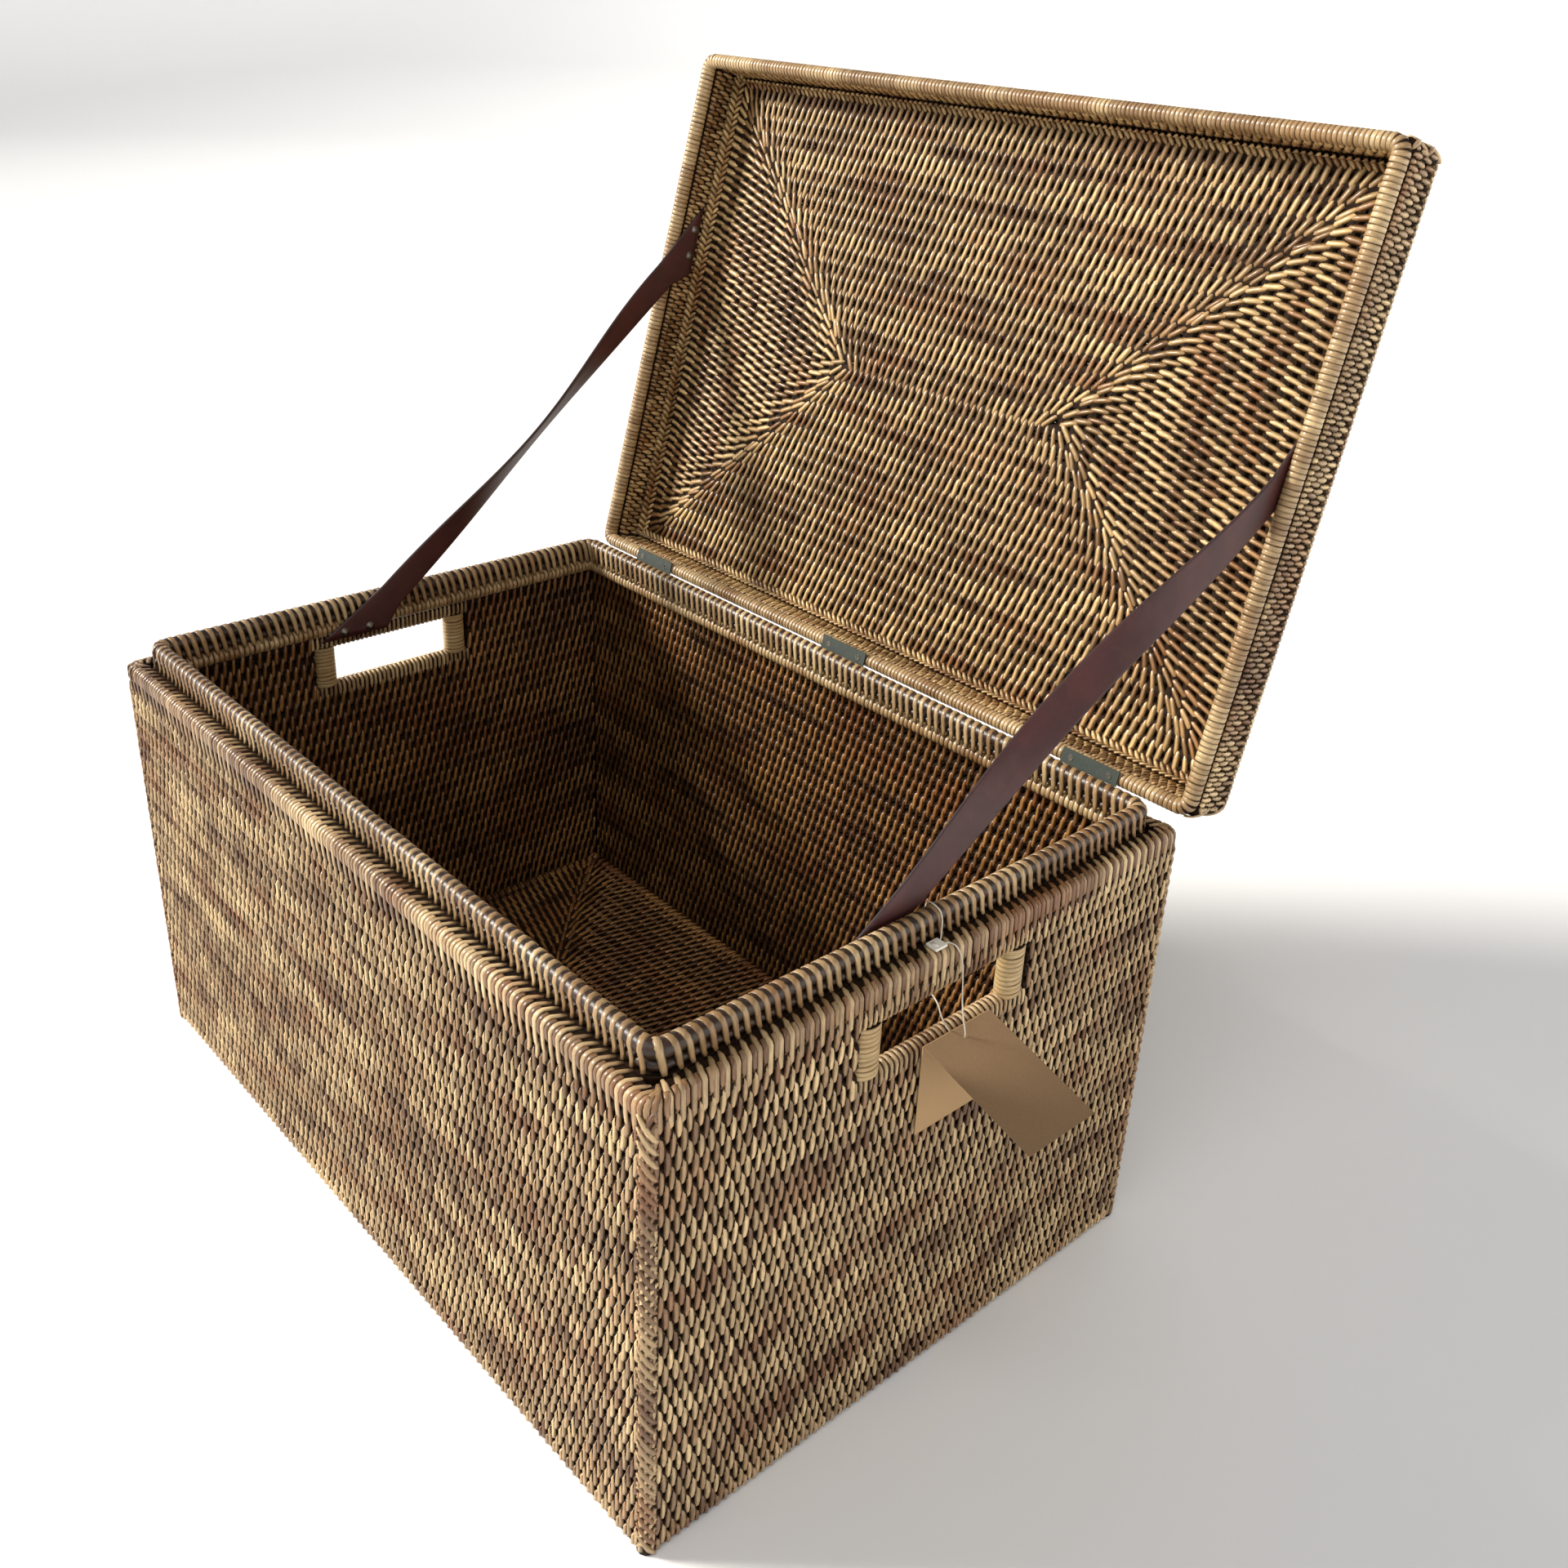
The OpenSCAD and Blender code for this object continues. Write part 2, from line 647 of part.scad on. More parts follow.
foot_rail();
floor_panel();
wall_long(-1);  // wall_front
wall_long(1);  // wall_back
wall_end(-1);  // wall_left
wall_end(1);  // wall_right
body_post(-1, -1);  // corner_post_front_left
body_post(1, -1);  // corner_post_front_right
body_post(-1, 1);  // corner_post_back_left
body_post(1, 1);  // corner_post_back_right
shoulder_rail();
inner_rail();
upstand_low_rail();
upstand_rail();
sleeve(-1, -1);  // sleeve_left_front
sleeve(-1, 1);  // sleeve_left_back
sleeve(1, -1);  // sleeve_right_front
sleeve(1, 1);  // sleeve_right_back
hole_rod(-1, false);  // hole_sill_left
hole_rod(1, false);  // hole_sill_right
hole_rod(-1, true);  // hole_lintel_left
hole_rod(1, true);  // hole_lintel_right
hinge_leaf_body(-1);  // hinge_leaf_body_1
hinge_leaf_body(0);  // hinge_leaf_body_2
hinge_leaf_body(1);  // hinge_leaf_body_3
hinge_pin(-1);  // hinge_pin_1
hinge_pin(0);  // hinge_pin_2
hinge_pin(1);  // hinge_pin_3
hinge_screws_body();
strap_side(0);  // strap_left
strap_side(1);  // strap_right
strap_rivets_body();
tag_string();
tag_lock();
lid_rim_rail();
lid_long(-1);  // lid_front
lid_long(1);  // lid_back
lid_end(-1);  // lid_left
lid_end(1);  // lid_right
lid_post(-1, -1);  // lid_post_front_left
lid_post(1, -1);  // lid_post_front_right
lid_post(-1, 1);  // lid_post_back_left
lid_post(1, 1);  // lid_post_back_right
lid_edge_rail();
lid_panel();
hinge_leaf_lid(-1);  // hinge_leaf_lid_1
hinge_leaf_lid(0);  // hinge_leaf_lid_2
hinge_leaf_lid(1);  // hinge_leaf_lid_3
hinge_screws_lid();
strap_rivets_lid();
tag_back_leaf();
tag_front_leaf();
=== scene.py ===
import json
import math

import bmesh
import bpy
from mathutils import Matrix, Vector


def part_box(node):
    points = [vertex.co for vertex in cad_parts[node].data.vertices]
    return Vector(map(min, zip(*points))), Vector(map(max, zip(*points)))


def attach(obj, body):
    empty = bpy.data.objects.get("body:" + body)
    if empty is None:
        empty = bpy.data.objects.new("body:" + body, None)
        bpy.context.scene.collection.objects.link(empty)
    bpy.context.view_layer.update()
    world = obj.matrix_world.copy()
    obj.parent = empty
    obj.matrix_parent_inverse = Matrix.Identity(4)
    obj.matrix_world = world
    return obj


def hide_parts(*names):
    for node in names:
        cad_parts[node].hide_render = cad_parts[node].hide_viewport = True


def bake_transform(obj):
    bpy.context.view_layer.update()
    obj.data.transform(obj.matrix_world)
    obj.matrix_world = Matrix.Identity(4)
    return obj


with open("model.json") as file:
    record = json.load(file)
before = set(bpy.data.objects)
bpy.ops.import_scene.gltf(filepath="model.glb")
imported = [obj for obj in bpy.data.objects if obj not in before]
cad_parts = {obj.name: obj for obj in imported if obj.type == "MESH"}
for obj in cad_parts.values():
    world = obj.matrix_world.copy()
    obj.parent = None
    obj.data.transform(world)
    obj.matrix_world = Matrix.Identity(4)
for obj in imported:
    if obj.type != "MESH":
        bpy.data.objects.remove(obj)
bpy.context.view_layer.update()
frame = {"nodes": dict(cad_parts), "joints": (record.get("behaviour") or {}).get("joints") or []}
MM = 0.001


# ---- Camera, floor and light ----
# The trunk stands on a pale floor that curves up far behind it. A warm window light comes
# low from the front left, a weaker one from the right and a soft one from above, and the
# camera looks down on the corner between the front and the end with the tag.


def linked(name, data):
    """A new object in the scene."""
    made = bpy.data.objects.new(name, data)
    bpy.context.scene.collection.objects.link(made)
    return made


camera = linked("camera", bpy.data.cameras.new("camera"))
camera.data.lens = 35.91
camera.data.sensor_width = 36
camera.data.shift_x = 0.0006
camera.data.shift_y = -0.0508
camera.location = (0.9188, -0.6628, 0.9537)
camera.rotation_euler = [math.radians(angle) for angle in (64.354, -2.322, 48.406)]
bpy.context.scene.camera = camera


def srgb(red, green, blue):
    """A linear colour with alpha from 0 to 255 screen values."""
    def linear(part):
        part = part / 255
        return part / 12.92 if part <= 0.04045 else ((part + 0.055) / 1.055) ** 2.4
    return (linear(red), linear(green), linear(blue), 1)


def soft_sun(name, towards, strength, spread, colour):
    """A light that shines towards a direction, as wide as spread in degrees."""
    lamp = bpy.data.lights.new(name, "SUN")
    lamp.energy = strength
    lamp.angle = math.radians(spread)
    lamp.color = colour
    light = linked(name, lamp)
    light.rotation_euler = Vector(towards).to_track_quat("-Z", "Y").to_euler()


soft_sun("window_light", (0.95, 0.85, -0.66), 5.2, 14, (1, 0.955, 0.89))
soft_sun("ceiling_light", (-0.25, 0.45, -1), 0.7, 40, (1, 1, 1))
soft_sun("side_light", (-1, 0.35, -0.22), 1.7, 16, (1, 0.985, 0.965))

world = bpy.data.worlds.new("studio")
bpy.context.scene.world = world
world.use_nodes = True
background = world.node_tree.nodes["Background"]
background.inputs["Color"].default_value = (1, 1, 1, 1)
background.inputs["Strength"].default_value = 0.26
bpy.context.scene.view_settings.view_transform = "Standard"


class Wire:
    """One output of a node; a sum of wires and numbers adds Math nodes."""

    def __init__(self, tree, socket):
        self.tree = tree
        self.socket = socket

    def math(self, operation, *values):
        return self.tree.node("ShaderNodeMath", {"operation": operation},
                              dict(enumerate(values)))

    def apply(self, operation):
        return self.math(operation, self)

    def __add__(self, other):
        return self.math("ADD", self, other)

    def __sub__(self, other):
        return self.math("SUBTRACT", self, other)

    def __rsub__(self, other):
        return self.math("SUBTRACT", other, self)

    def __mul__(self, other):
        return self.math("MULTIPLY", self, other)

    def __truediv__(self, other):
        return self.math("DIVIDE", self, other)

    def __mod__(self, other):
        return self.math("FLOORED_MODULO", self, other)

    def __pow__(self, other):
        return self.math("POWER", self, other)

    def __lt__(self, other):
        return self.math("LESS_THAN", self, other)

    def __gt__(self, other):
        return self.math("GREATER_THAN", self, other)

    def __abs__(self):
        return self.apply("ABSOLUTE")

    __radd__ = __add__
    __rmul__ = __mul__


class Tree:
    """A shader or geometry tree as it is wired."""

    def __init__(self, tree):
        self.tree = tree
        tree.nodes.clear()

    def node(self, kind, settings=None, sockets=None, out=0):
        made = self.tree.nodes.new(kind)
        for name, value in (settings or {}).items():
            setattr(made, name, value)
        for key, value in (sockets or {}).items():
            for item in value if isinstance(value, list) else [value]:
                if isinstance(item, Wire):
                    self.tree.links.new(item.socket, made.inputs[key])
                else:
                    made.inputs[key].default_value = item
        return Wire(self, made.outputs[out]) if made.outputs else None

    def vector(self, x, y, z):
        return self.node("ShaderNodeCombineXYZ", {}, {0: x, 1: y, 2: z})

    def parts(self, vector):
        return [self.node("ShaderNodeSeparateXYZ", {}, {0: vector}, i) for i in range(3)]

    def mix(self, share, first, second):
        return self.node("ShaderNodeMix", {"data_type": "RGBA"},
                         {0: share, 6: first, 7: second}, 2)

    def noise(self, place, scale=1.0, detail=2.0, rough=0.5):
        return self.node("ShaderNodeTexNoise", {}, {
            "Vector": place, "Scale": scale, "Detail": detail, "Roughness": rough})

    def limit(self, value, low, high):
        """0 below low, 1 above high and even in between."""
        return self.node("ShaderNodeMapRange", {"clamp": True}, {0: value, 1: low, 2: high})


def new_material(name):
    material = bpy.data.materials.new(name)
    material.use_nodes = True
    return material, Tree(material.node_tree)


def finish_material(tree, colour, roughness, height=None, bump=0.3, depth=0.0005, **fixed):
    """Wires the shader; fixed are sockets that stay the same all over."""
    sockets = {"Base Color": colour, "Roughness": roughness}
    if height is not None:
        sockets["Normal"] = tree.node("ShaderNodeBump", {}, {
            "Strength": bump, "Distance": depth, "Height": height})
    for name, value in fixed.items():
        sockets[name.replace("_", " ")] = value
    shader = tree.node("ShaderNodeBsdfPrincipled", {}, sockets)
    tree.node("ShaderNodeOutputMaterial", {}, {0: shader})


def object_place(tree):
    """Where a point is on the object, in metres."""
    return tree.node("ShaderNodeTexCoord", {}, {}, "Object")


floor_material, tree = new_material("studio_floor")
finish_material(tree, srgb(250, 250, 250), 0.9)
floor_mesh = bpy.data.meshes.new("studio_floor")
floor_profile = [(0.02, 0), (8, 0), (10, 0.25), (12, 1.2), (13.5, 2.8), (14, 5)]
spokes = 48
floor_points, floor_faces = [], [tuple(range(spokes))]
for k, (reach, height) in enumerate(floor_profile):
    for i in range(spokes):
        angle = 2 * math.pi * i / spokes
        floor_points.append((reach * math.cos(angle), reach * math.sin(angle), height))
        if k:
            a, b = k * spokes + i, k * spokes + (i + 1) % spokes
            floor_faces.append((a - spokes, a, b, b - spokes))
floor_mesh.from_pydata(floor_points, [], floor_faces)
floor_mesh.polygons.foreach_set("use_smooth", [True] * len(floor_mesh.polygons))
floor_mesh.materials.append(floor_material)
linked("studio_floor", floor_mesh)


# ---- The tag's string and its lock ----
# A thin twisted cotton loop. Both ends are held in a small white plastic lock on the
# ledge; the loop goes over the upstand, out by the hand hole and through the tag.

STRING_D = 1.0 * MM
# Millimetres, from the lock over the upstand, out by the hole, through the tag and back
STRING_ROUTE = [
    (364.5, -3, 378.6), (363.6, -1, 378.8), (362.2, 0.8, 380.6), (361.2, 1.8, 384),
    (360.9, 2, 390), (359.3, 1.5, 395.8), (356, 0.5, 398.8), (352.5, 0.5, 399.2),
    (348.6, 1.5, 398.2), (345.4, 2.5, 394), (344.4, 3, 388), (344.2, 3, 380),
    (344.2, 3, 370), (344.6, 2, 358), (348, 0, 347), (356, -3, 340), (365, -6, 337.5),
    (373, -8.5, 335), (376.6, -8, 327), (377, -3, 317), (376.7, 3, 309),
    (377.2, 6.4, 305.2), (379.6, 7, 304.2), (383.2, 7, 305), (385.8, 7, 308.4),
    (385.8, 7, 313), (383, 7, 323), (379.6, 8, 336), (377.8, 8.5, 351), (377, 7, 364),
    (376.6, 4.5, 372), (375, 2, 377.2), (372.4, 0.4, 378.8), (370.2, -0.8, 378.8),
    (369.5, -3, 378.6),
]


def smooth_line(points, splits):
    """Points on the smooth curve through a route."""
    line = []
    for i in range(len(points) - 1):
        a, b = points[i], points[i + 1]
        before = points[i - 1] if i > 0 else 2 * a - b
        after = points[i + 2] if i + 2 < len(points) else 2 * b - a
        for step in range(splits):
            t = step / splits
            line.append(0.5 * (2 * a + (b - before) * t
                               + (2 * before - 5 * a + 4 * b - after) * t ** 2
                               + (3 * a - before - 3 * b + after) * t ** 3))
    return line + [points[-1]]


string_line = smooth_line([Vector(point) * MM for point in STRING_ROUTE], 5)
string_curve = bpy.data.curves.new("hang_string", "CURVE")
string_curve.dimensions = "3D"
string_curve.bevel_depth = STRING_D / 2
string_curve.bevel_resolution = 3
string_curve.use_fill_caps = True
spline = string_curve.splines.new("POLY")
spline.points.add(len(string_line) - 1)
for spline_point, place in zip(spline.points, string_line):
    spline_point.co = (*place, 1)
hang_string = linked("hang_string", string_curve)

string_cotton, tree = new_material("string_cotton")
x, y, z = tree.parts(object_place(tree))
twist = ((x + y) * 9000 + z * 7000).apply("SINE")
fluff = tree.noise(object_place(tree), 2500)
finish_material(tree, tree.mix(fluff, srgb(196, 188, 170), srgb(232, 226, 210)), 0.85,
                twist * 0.6 + fluff, 0.5, 0.0002)
string_curve.materials.append(string_cotton)

lock_low, lock_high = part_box("tag_lock")
lock_mesh = bpy.data.meshes.new("string_lock")
shaper = bmesh.new()
bmesh.ops.create_cube(shaper, size=1)
lock_size = lock_high - lock_low
bmesh.ops.scale(shaper, vec=lock_size, verts=shaper.verts)
bmesh.ops.translate(shaper, vec=(lock_low + lock_high) / 2, verts=shaper.verts)
bmesh.ops.bevel(shaper, geom=shaper.edges[:], offset=0.7 * MM, segments=3, profile=0.5,
                affect="EDGES")
lip = bmesh.ops.create_cube(shaper, size=1)["verts"]
bmesh.ops.scale(shaper, vec=(lock_size.x * 0.55, lock_size.y * 0.3, lock_size.z * 0.3),
                verts=lip)
bmesh.ops.translate(shaper, vec=((lock_low.x + lock_high.x) / 2,
                                 lock_low.y + lock_size.y * 0.3, lock_high.z), verts=lip)
for face in shaper.faces:
    face.smooth = True
shaper.to_mesh(lock_mesh)
shaper.free()
lock_plastic, tree = new_material("lock_plastic")
grain = tree.noise(object_place(tree), 900)
finish_material(tree, tree.mix(grain, srgb(222, 216, 200), srgb(238, 233, 220)),
                grain * 0.15 + 0.35, grain, 0.15, 0.0002)
lock_mesh.materials.append(lock_plastic)
string_lock = linked("string_lock", lock_mesh)
for made, node, slot in ((string_lock, "tag_lock", "tag_plastic"),
                         (hang_string, "tag_string", "tag_string")):
    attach(made, "trunk")
    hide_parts(node)


# ---- Woven body ----
# The walls and the floor are round rattan rods laid in rows, near black partly of their own
# colour and partly as painted shade in the gaps. Split peel, each strand of its own tone, is
# lashed over every two rods, from the foot up to the shoulder. A strand's tone is held in its
# "cane" attribute and its own grain's way in "strand".

def darker(colour, share):
    return tuple(part * share for part in colour[:3]) + (1,)


def cane_material(name, pale, deep, blush, shine):
    """Split peel: pale and deep are the ends of its tone, blush its reddish patches."""
    material, tree = new_material(name)
    tone, warm, pick = tree.parts(
        tree.node("ShaderNodeAttribute", {"attribute_name": "cane"}, {}, "Vector"))
    across, run, _ = tree.parts(
        tree.node("ShaderNodeAttribute", {"attribute_name": "strand"}, {}, "Vector"))
    grain = tree.noise(tree.vector(across * 2.2, run * 90, pick * 57), 1, 3, 0.6)
    knots = tree.noise(tree.vector(across * 0.6, run * 260, pick * 91), 1, 1)
    colour = tree.mix(tree.limit(tone, 0.08, 0.92), deep, pale)
    colour = tree.mix(tree.limit(warm, 0.5, 0.85) * 0.6, colour, blush)
    colour = tree.mix(tree.limit(grain, 0.35, 0.75) * 0.6, colour, darker(deep, 0.45))
    # Each strand darkens towards its long edges: painted shade where neighbouring strands meet.
    edges = abs(across) ** 3
    colour = tree.mix(edges * 0.65, colour, darker(deep, 0.2))
    rough = grain * 0.3 + knots * 0.15 + shine
    finish_material(tree, colour, rough, grain + knots * 0.5, 0.5, 0.0003,
                    Coat_Weight=0.4, Coat_Roughness=0.18)
    return material


def rod_material(name, light, dark, shine, gloss):
    """Round rattan seen between the strands: streaks, and darker bands at its nodes."""
    material, tree = new_material(name)
    place = object_place(tree)
    streaks = tree.noise(place, 260, 4, 0.65)
    bands = tree.noise(place, 22, 2)
    colour = tree.mix(tree.limit(streaks, 0.3, 0.7), dark, light)
    colour = tree.mix(tree.limit(bands, 0.5, 0.75) * 0.6, colour, darker(dark, 0.4))
    finish_material(tree, colour, streaks * 0.25 + shine, streaks, 0.4, 0.0004,
                    Specular_IOR_Level=gloss)
    return material


wall_cane = cane_material("wall_cane", srgb(246, 214, 160), srgb(112, 76, 42),
                          srgb(152, 96, 52), 0.24)
# The trunk's inside cane is darker and warmer than the wall cane: partly its own colour, partly
# painted shade of the trunk's interior.
shaded_inside_cane = cane_material("shaded_inside_cane", srgb(184, 132, 72), srgb(88, 54, 24),
                            srgb(138, 78, 34), 0.24)
# The rods' near-black colour is partly their own and partly painted shade in the gaps between the
# strands.
weave_rod = rod_material("weave_rod", srgb(46, 29, 14), srgb(20, 12, 6), 0.6, 0.12)


def ring_faces(rings, sides, closed):
    """Faces along a run of rings of points, with a cap at each end if it's open."""
    faces = []
    for i in range(rings if closed else rings - 1):
        step = sides if i < rings - 1 else sides - sides * rings
        for j in range(sides):
            a, b = i * sides + j, i * sides + (j + 1) % sides
            faces.append((a, b, b + step, a + step))
    if not closed:
        last = sides * (rings - 1)
        faces += [tuple(range(sides)), tuple(range(last + sides - 1, last - 1, -1))]
    return faces


def solid(name, verts, faces, smooth):
    """A closed mesh, faces outward; smooth says whether a face is shaded so."""
    mesh = bpy.data.meshes.new(name)
    mesh.from_pydata(verts, [], faces)
    shaper = bmesh.new()
    shaper.from_mesh(mesh)
    bmesh.ops.recalc_face_normals(shaper, faces=shaper.faces)
    for face in shaper.faces:
        face.smooth = smooth(face)
    shaper.to_mesh(mesh)
    shaper.free()
    return mesh


def mark_strand(mesh, marks):
    """Holds how far across the strand and along it each point is."""
    attribute = mesh.attributes.new("strand", "FLOAT_VECTOR", "POINT")
    attribute.data.foreach_set("vector", [part for mark in marks for part in mark])


def strand(name, path, width, thick, taper=1.0, round_end=False, flat=False):
    """A cane whose face follows path, points (along the rail, across it, up).

    taper is the ends' share of the width; a round_end path closes on itself."""
    offsets, rises = ((-1, -0.55, 0.55, 1), (0, 1, 1, 0)) if flat else ((-1, 0, 1), (0, 1, 0))
    sides, count = len(offsets), len(path)
    points = [Vector(point) for point in path]
    verts, marks, run = [], [], 0
    for i, point in enumerate(points):
        before = points[i - 1] if i or round_end else point
        after = points[(i + 1) % count] if i < count - 1 or round_end else point
        way = (after - before).normalized()
        face = Vector((0, way.z, -way.y)).normalized()
        side = way.cross(face)
        t = 2 * i / (count - 1) - 1
        wide = width / 2 * (1 if round_end else taper + (1 - taper) * math.sqrt(1 - t * t))
        run += (point - points[i - 1]).length if i else 0
        for offset, rise in zip(offsets, rises):
            verts.append(point + side * offset * wide + face * (rise - 1) * thick)
            marks.append((offset, run, 0))
    mesh = solid(name, verts, ring_faces(count, sides, round_end), lambda face: True)
    mark_strand(mesh, marks)
    return bpy.data.objects.new(name, mesh)


def stitch(name, length, width, thick, row, bow, slant, taper, steps=5):
    """A lashing stitch over two rods, which dips into the hollows beyond them.

    bow is how far its middle stands aside, slant its lean and taper its ends' width."""
    rod = row / 2
    path = []
    for i in range(steps + 1):
        t = 1 - 2 * i / steps
        beyond = min(max(abs(t) * length / 2 - rod, 0), rod * 0.98)
        drop = rod - math.sqrt(rod * rod - beyond * beyond)
        path.append((bow * (1 - t * t) + slant * t * length / 2, t * length / 2,
                     -drop * 0.95))
    return strand(name, path, width, thick, taper)


def geometry_tree(name, inputs):
    group = bpy.data.node_groups.new(name, "GeometryNodeTree")
    tree = Tree(group)
    for label, kind in {"Geometry": "Geometry", **inputs}.items():
        group.interface.new_socket(label, in_out="INPUT", socket_type="NodeSocket" + kind)
    group.interface.new_socket("Geometry", in_out="OUTPUT", socket_type="NodeSocketGeometry")
    start = group.nodes.new("NodeGroupInput")
    given = {socket.name: Wire(tree, socket) for socket in start.outputs if socket.name}
    return tree, given


def random_number(tree, low, high, seed):
    return tree.node("FunctionNodeRandomValue", {"data_type": "FLOAT"},
                     {2: low, 3: high, 8: seed}, 1)


def store(tree, geometry, name, value, domain):
    return tree.node("GeometryNodeStoreNamedAttribute",
                     {"data_type": "FLOAT_VECTOR", "domain": domain},
                     {"Geometry": geometry, "Name": name, "Value": value})


def stored(tree, name):
    return tree.node("GeometryNodeInputNamedAttribute", {"data_type": "FLOAT_VECTOR"},
                     {"Name": name})


def strand_tones(tree, stretch, given):
    """Streaks of tone along the rows, with each strand a little off its neighbours."""
    x, y, z = tree.parts(tree.node("GeometryNodeInputPosition"))
    seed = given["Seed"]
    shift = seed * 3.7
    streak = tree.noise(tree.vector(x * stretch[0] + shift, y * stretch[1], z * stretch[2]),
                        1, 2)
    patch = tree.noise(tree.vector(x * stretch[0] * 1.3, y * stretch[1] * 0.8 + shift,
                                   z * stretch[2] * 0.8), 1, 2)
    own = random_number(tree, -1.0, 1.0, seed + 5)
    tone = (streak - 0.5) * 2.4 + own * 0.24 + given["Tone"]
    warm = (patch - 0.5) * 2.4 + 0.5 + random_number(tree, -0.07, 0.07, seed + 6)
    return tree.vector(tone, warm, random_number(tree, 0.0, 1.0, seed + 7))


def finished(tree, geometry, material):
    real = tree.node("GeometryNodeRealizeInstances", {}, {0: geometry})
    return tree.node("GeometryNodeSetMaterial", {}, {"Geometry": real, "Material": material})


# How far from a mitre the stitches start to fan, and what an edge row's stitches lose
FAN_REACH = 17 * MM
EDGE_CUT = 0.49


def weave_tree():
    """Makes a flat field of lashed rods, mitred at its ends if asked."""
    tree, given = geometry_tree("lay_stitches", {
        "Stitch": "Object", "Length": "Float", "Rows": "Int", "Row": "Float",
        "Pitch": "Float", "Mitre": "Float", "Fan": "Float", "First": "Float",
        "Last": "Float", "Loose": "Float", "Hole wide": "Float", "Hole low": "Float",
        "Hole high": "Float", "Rod rows": "Int", "Rod deep": "Float", "Rod sunk": "Float",
        "Rod end": "Float", "Tone": "Float", "Seed": "Int", "Cane": "Material",
        "Rod": "Material"})
    index = tree.node("GeometryNodeInputIndex")
    length, row, pitch, seed = (given[k] for k in ("Length", "Row", "Pitch", "Seed"))

    columns = (length / pitch).apply("CEIL") + 1
    stitch_rows = given["Rows"] + 1
    points = tree.node("GeometryNodePoints", {}, {"Count": columns * stitch_rows})
    line = ((index + 0.5) / columns).apply("FLOOR")
    column = index - line * columns
    along = (column - (columns - 1) / 2 + (line % 2) * 0.5 - 0.25) * pitch
    first = line < 0.5
    last = line > given["Rows"] - 0.5
    up = line * row + first * row * 0.5 - last * row * 0.5
    kept = ((1 - first) + first * given["First"]) * ((1 - last) + last * given["Last"])
    room = length / 2 - given["Mitre"] * line * row - abs(along)
    in_hole = ((abs(along) < given["Hole wide"]) * (up > given["Hole low"])
               * (up < given["Hole high"]))
    spare = ((room < pitch * -0.1) + in_hole + (1 - kept)) > 0.5
    points = tree.node("GeometryNodeSetPosition", {}, {
        "Geometry": points, "Position": tree.vector(
            along + random_number(tree, -0.05, 0.05, seed) * pitch, up,
            random_number(tree, -0.0002, 0.0, seed + 1))})
    near_mitre = (room * (-1 / FAN_REACH)).apply("EXPONENT")
    fan = given["Fan"] * near_mitre * along.apply("SIGN") * given["Mitre"]
    turned = tree.vector(0, 0, fan + random_number(tree, -1.0, 1.0, seed + 2) * given["Loose"])
    size = tree.vector(random_number(tree, 0.85, 1.12, seed + 3), 1 - (first + last) * EDGE_CUT, 1)
    points = store(tree, points, "turned", turned, "POINT")
    points = store(tree, points, "sized", size, "POINT")
    points = tree.node("GeometryNodeDeleteGeometry", {"domain": "POINT"},
                       {"Geometry": points, "Selection": spare})
    model = tree.node("GeometryNodeObjectInfo", {"transform_space": "ORIGINAL"},
                      {"Object": given["Stitch"]}, "Geometry")
    stitches = tree.node("GeometryNodeInstanceOnPoints", {}, {
        "Points": points, "Instance": model, "Rotation": stored(tree, "turned"),
        "Scale": stored(tree, "sized")})
    stitches = store(tree, stitches, "cane", strand_tones(tree, (8, 42, 8), given), "INSTANCE")
    stitches = finished(tree, stitches, given["Cane"])

    rods = tree.node("GeometryNodePoints", {}, {"Count": given["Rod rows"] * 2})
    rod_line = ((index + 0.5) / 2).apply("FLOOR")
    half = (index % 2) * 2 - 1
    height = (rod_line + 0.5) * row
    start = given["Hole wide"] * (height > given["Hole low"]) * (height < given["Hole high"])
    end = length / 2 + given["Rod end"] - given["Mitre"] * height
    rods = tree.node("GeometryNodeSetPosition", {}, {
        "Geometry": rods, "Position": tree.vector(half * (start + end) / 2, height,
                                                  given["Rod sunk"] * -1)})
    rods = store(tree, rods, "sized", tree.vector(given["Rod deep"], row * 0.51, end - start),
                 "POINT")
    round_rod = tree.node("GeometryNodeMeshCylinder", {}, {
        "Vertices": 10, "Radius": 1.0, "Depth": 1.0})
    rods = tree.node("GeometryNodeInstanceOnPoints", {}, {
        "Points": rods, "Instance": round_rod, "Rotation": (0, math.pi / 2, 0),
        "Scale": stored(tree, "sized")})
    rods = finished(tree, rods, given["Rod"])
    both = tree.node("GeometryNodeJoinGeometry", {}, {0: [stitches, rods]})
    tree.node("NodeGroupOutput", {}, {0: both})
    return tree.tree


lay_stitches = weave_tree()


def grown(tree, values, base=None):
    """The plain mesh that a tree makes of a base mesh."""
    host = linked("host", base or bpy.data.meshes.new("host"))
    modifier = host.modifiers.new("tree", "NODES")
    modifier.node_group = tree
    for item in tree.interface.items_tree:
        if item.in_out == "INPUT" and item.name in values:
            modifier[item.identifier] = values[item.name]
    graph = bpy.context.evaluated_depsgraph_get()
    mesh = bpy.data.meshes.new_from_object(host.evaluated_get(graph), depsgraph=graph)
    bpy.data.objects.remove(host)
    return mesh


def piece(name, meshes, body, slot, *nodes):
    """One named piece made of several meshes, which rides on a body and stands for nodes."""
    shaper = bmesh.new()
    materials = []
    for mesh in meshes:
        for material in mesh.materials:
            if material not in materials:
                materials.append(material)
        places = [materials.index(material) for material in mesh.materials]
        for face in mesh.polygons:
            face.material_index = places[face.material_index]
        shaper.from_mesh(mesh)
    whole = bpy.data.meshes.new(name)
    shaper.to_mesh(whole)
    shaper.free()
    for material in materials:
        whole.materials.append(material)
    made = linked(name, whole)
    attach(made, body)
    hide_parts(*nodes)


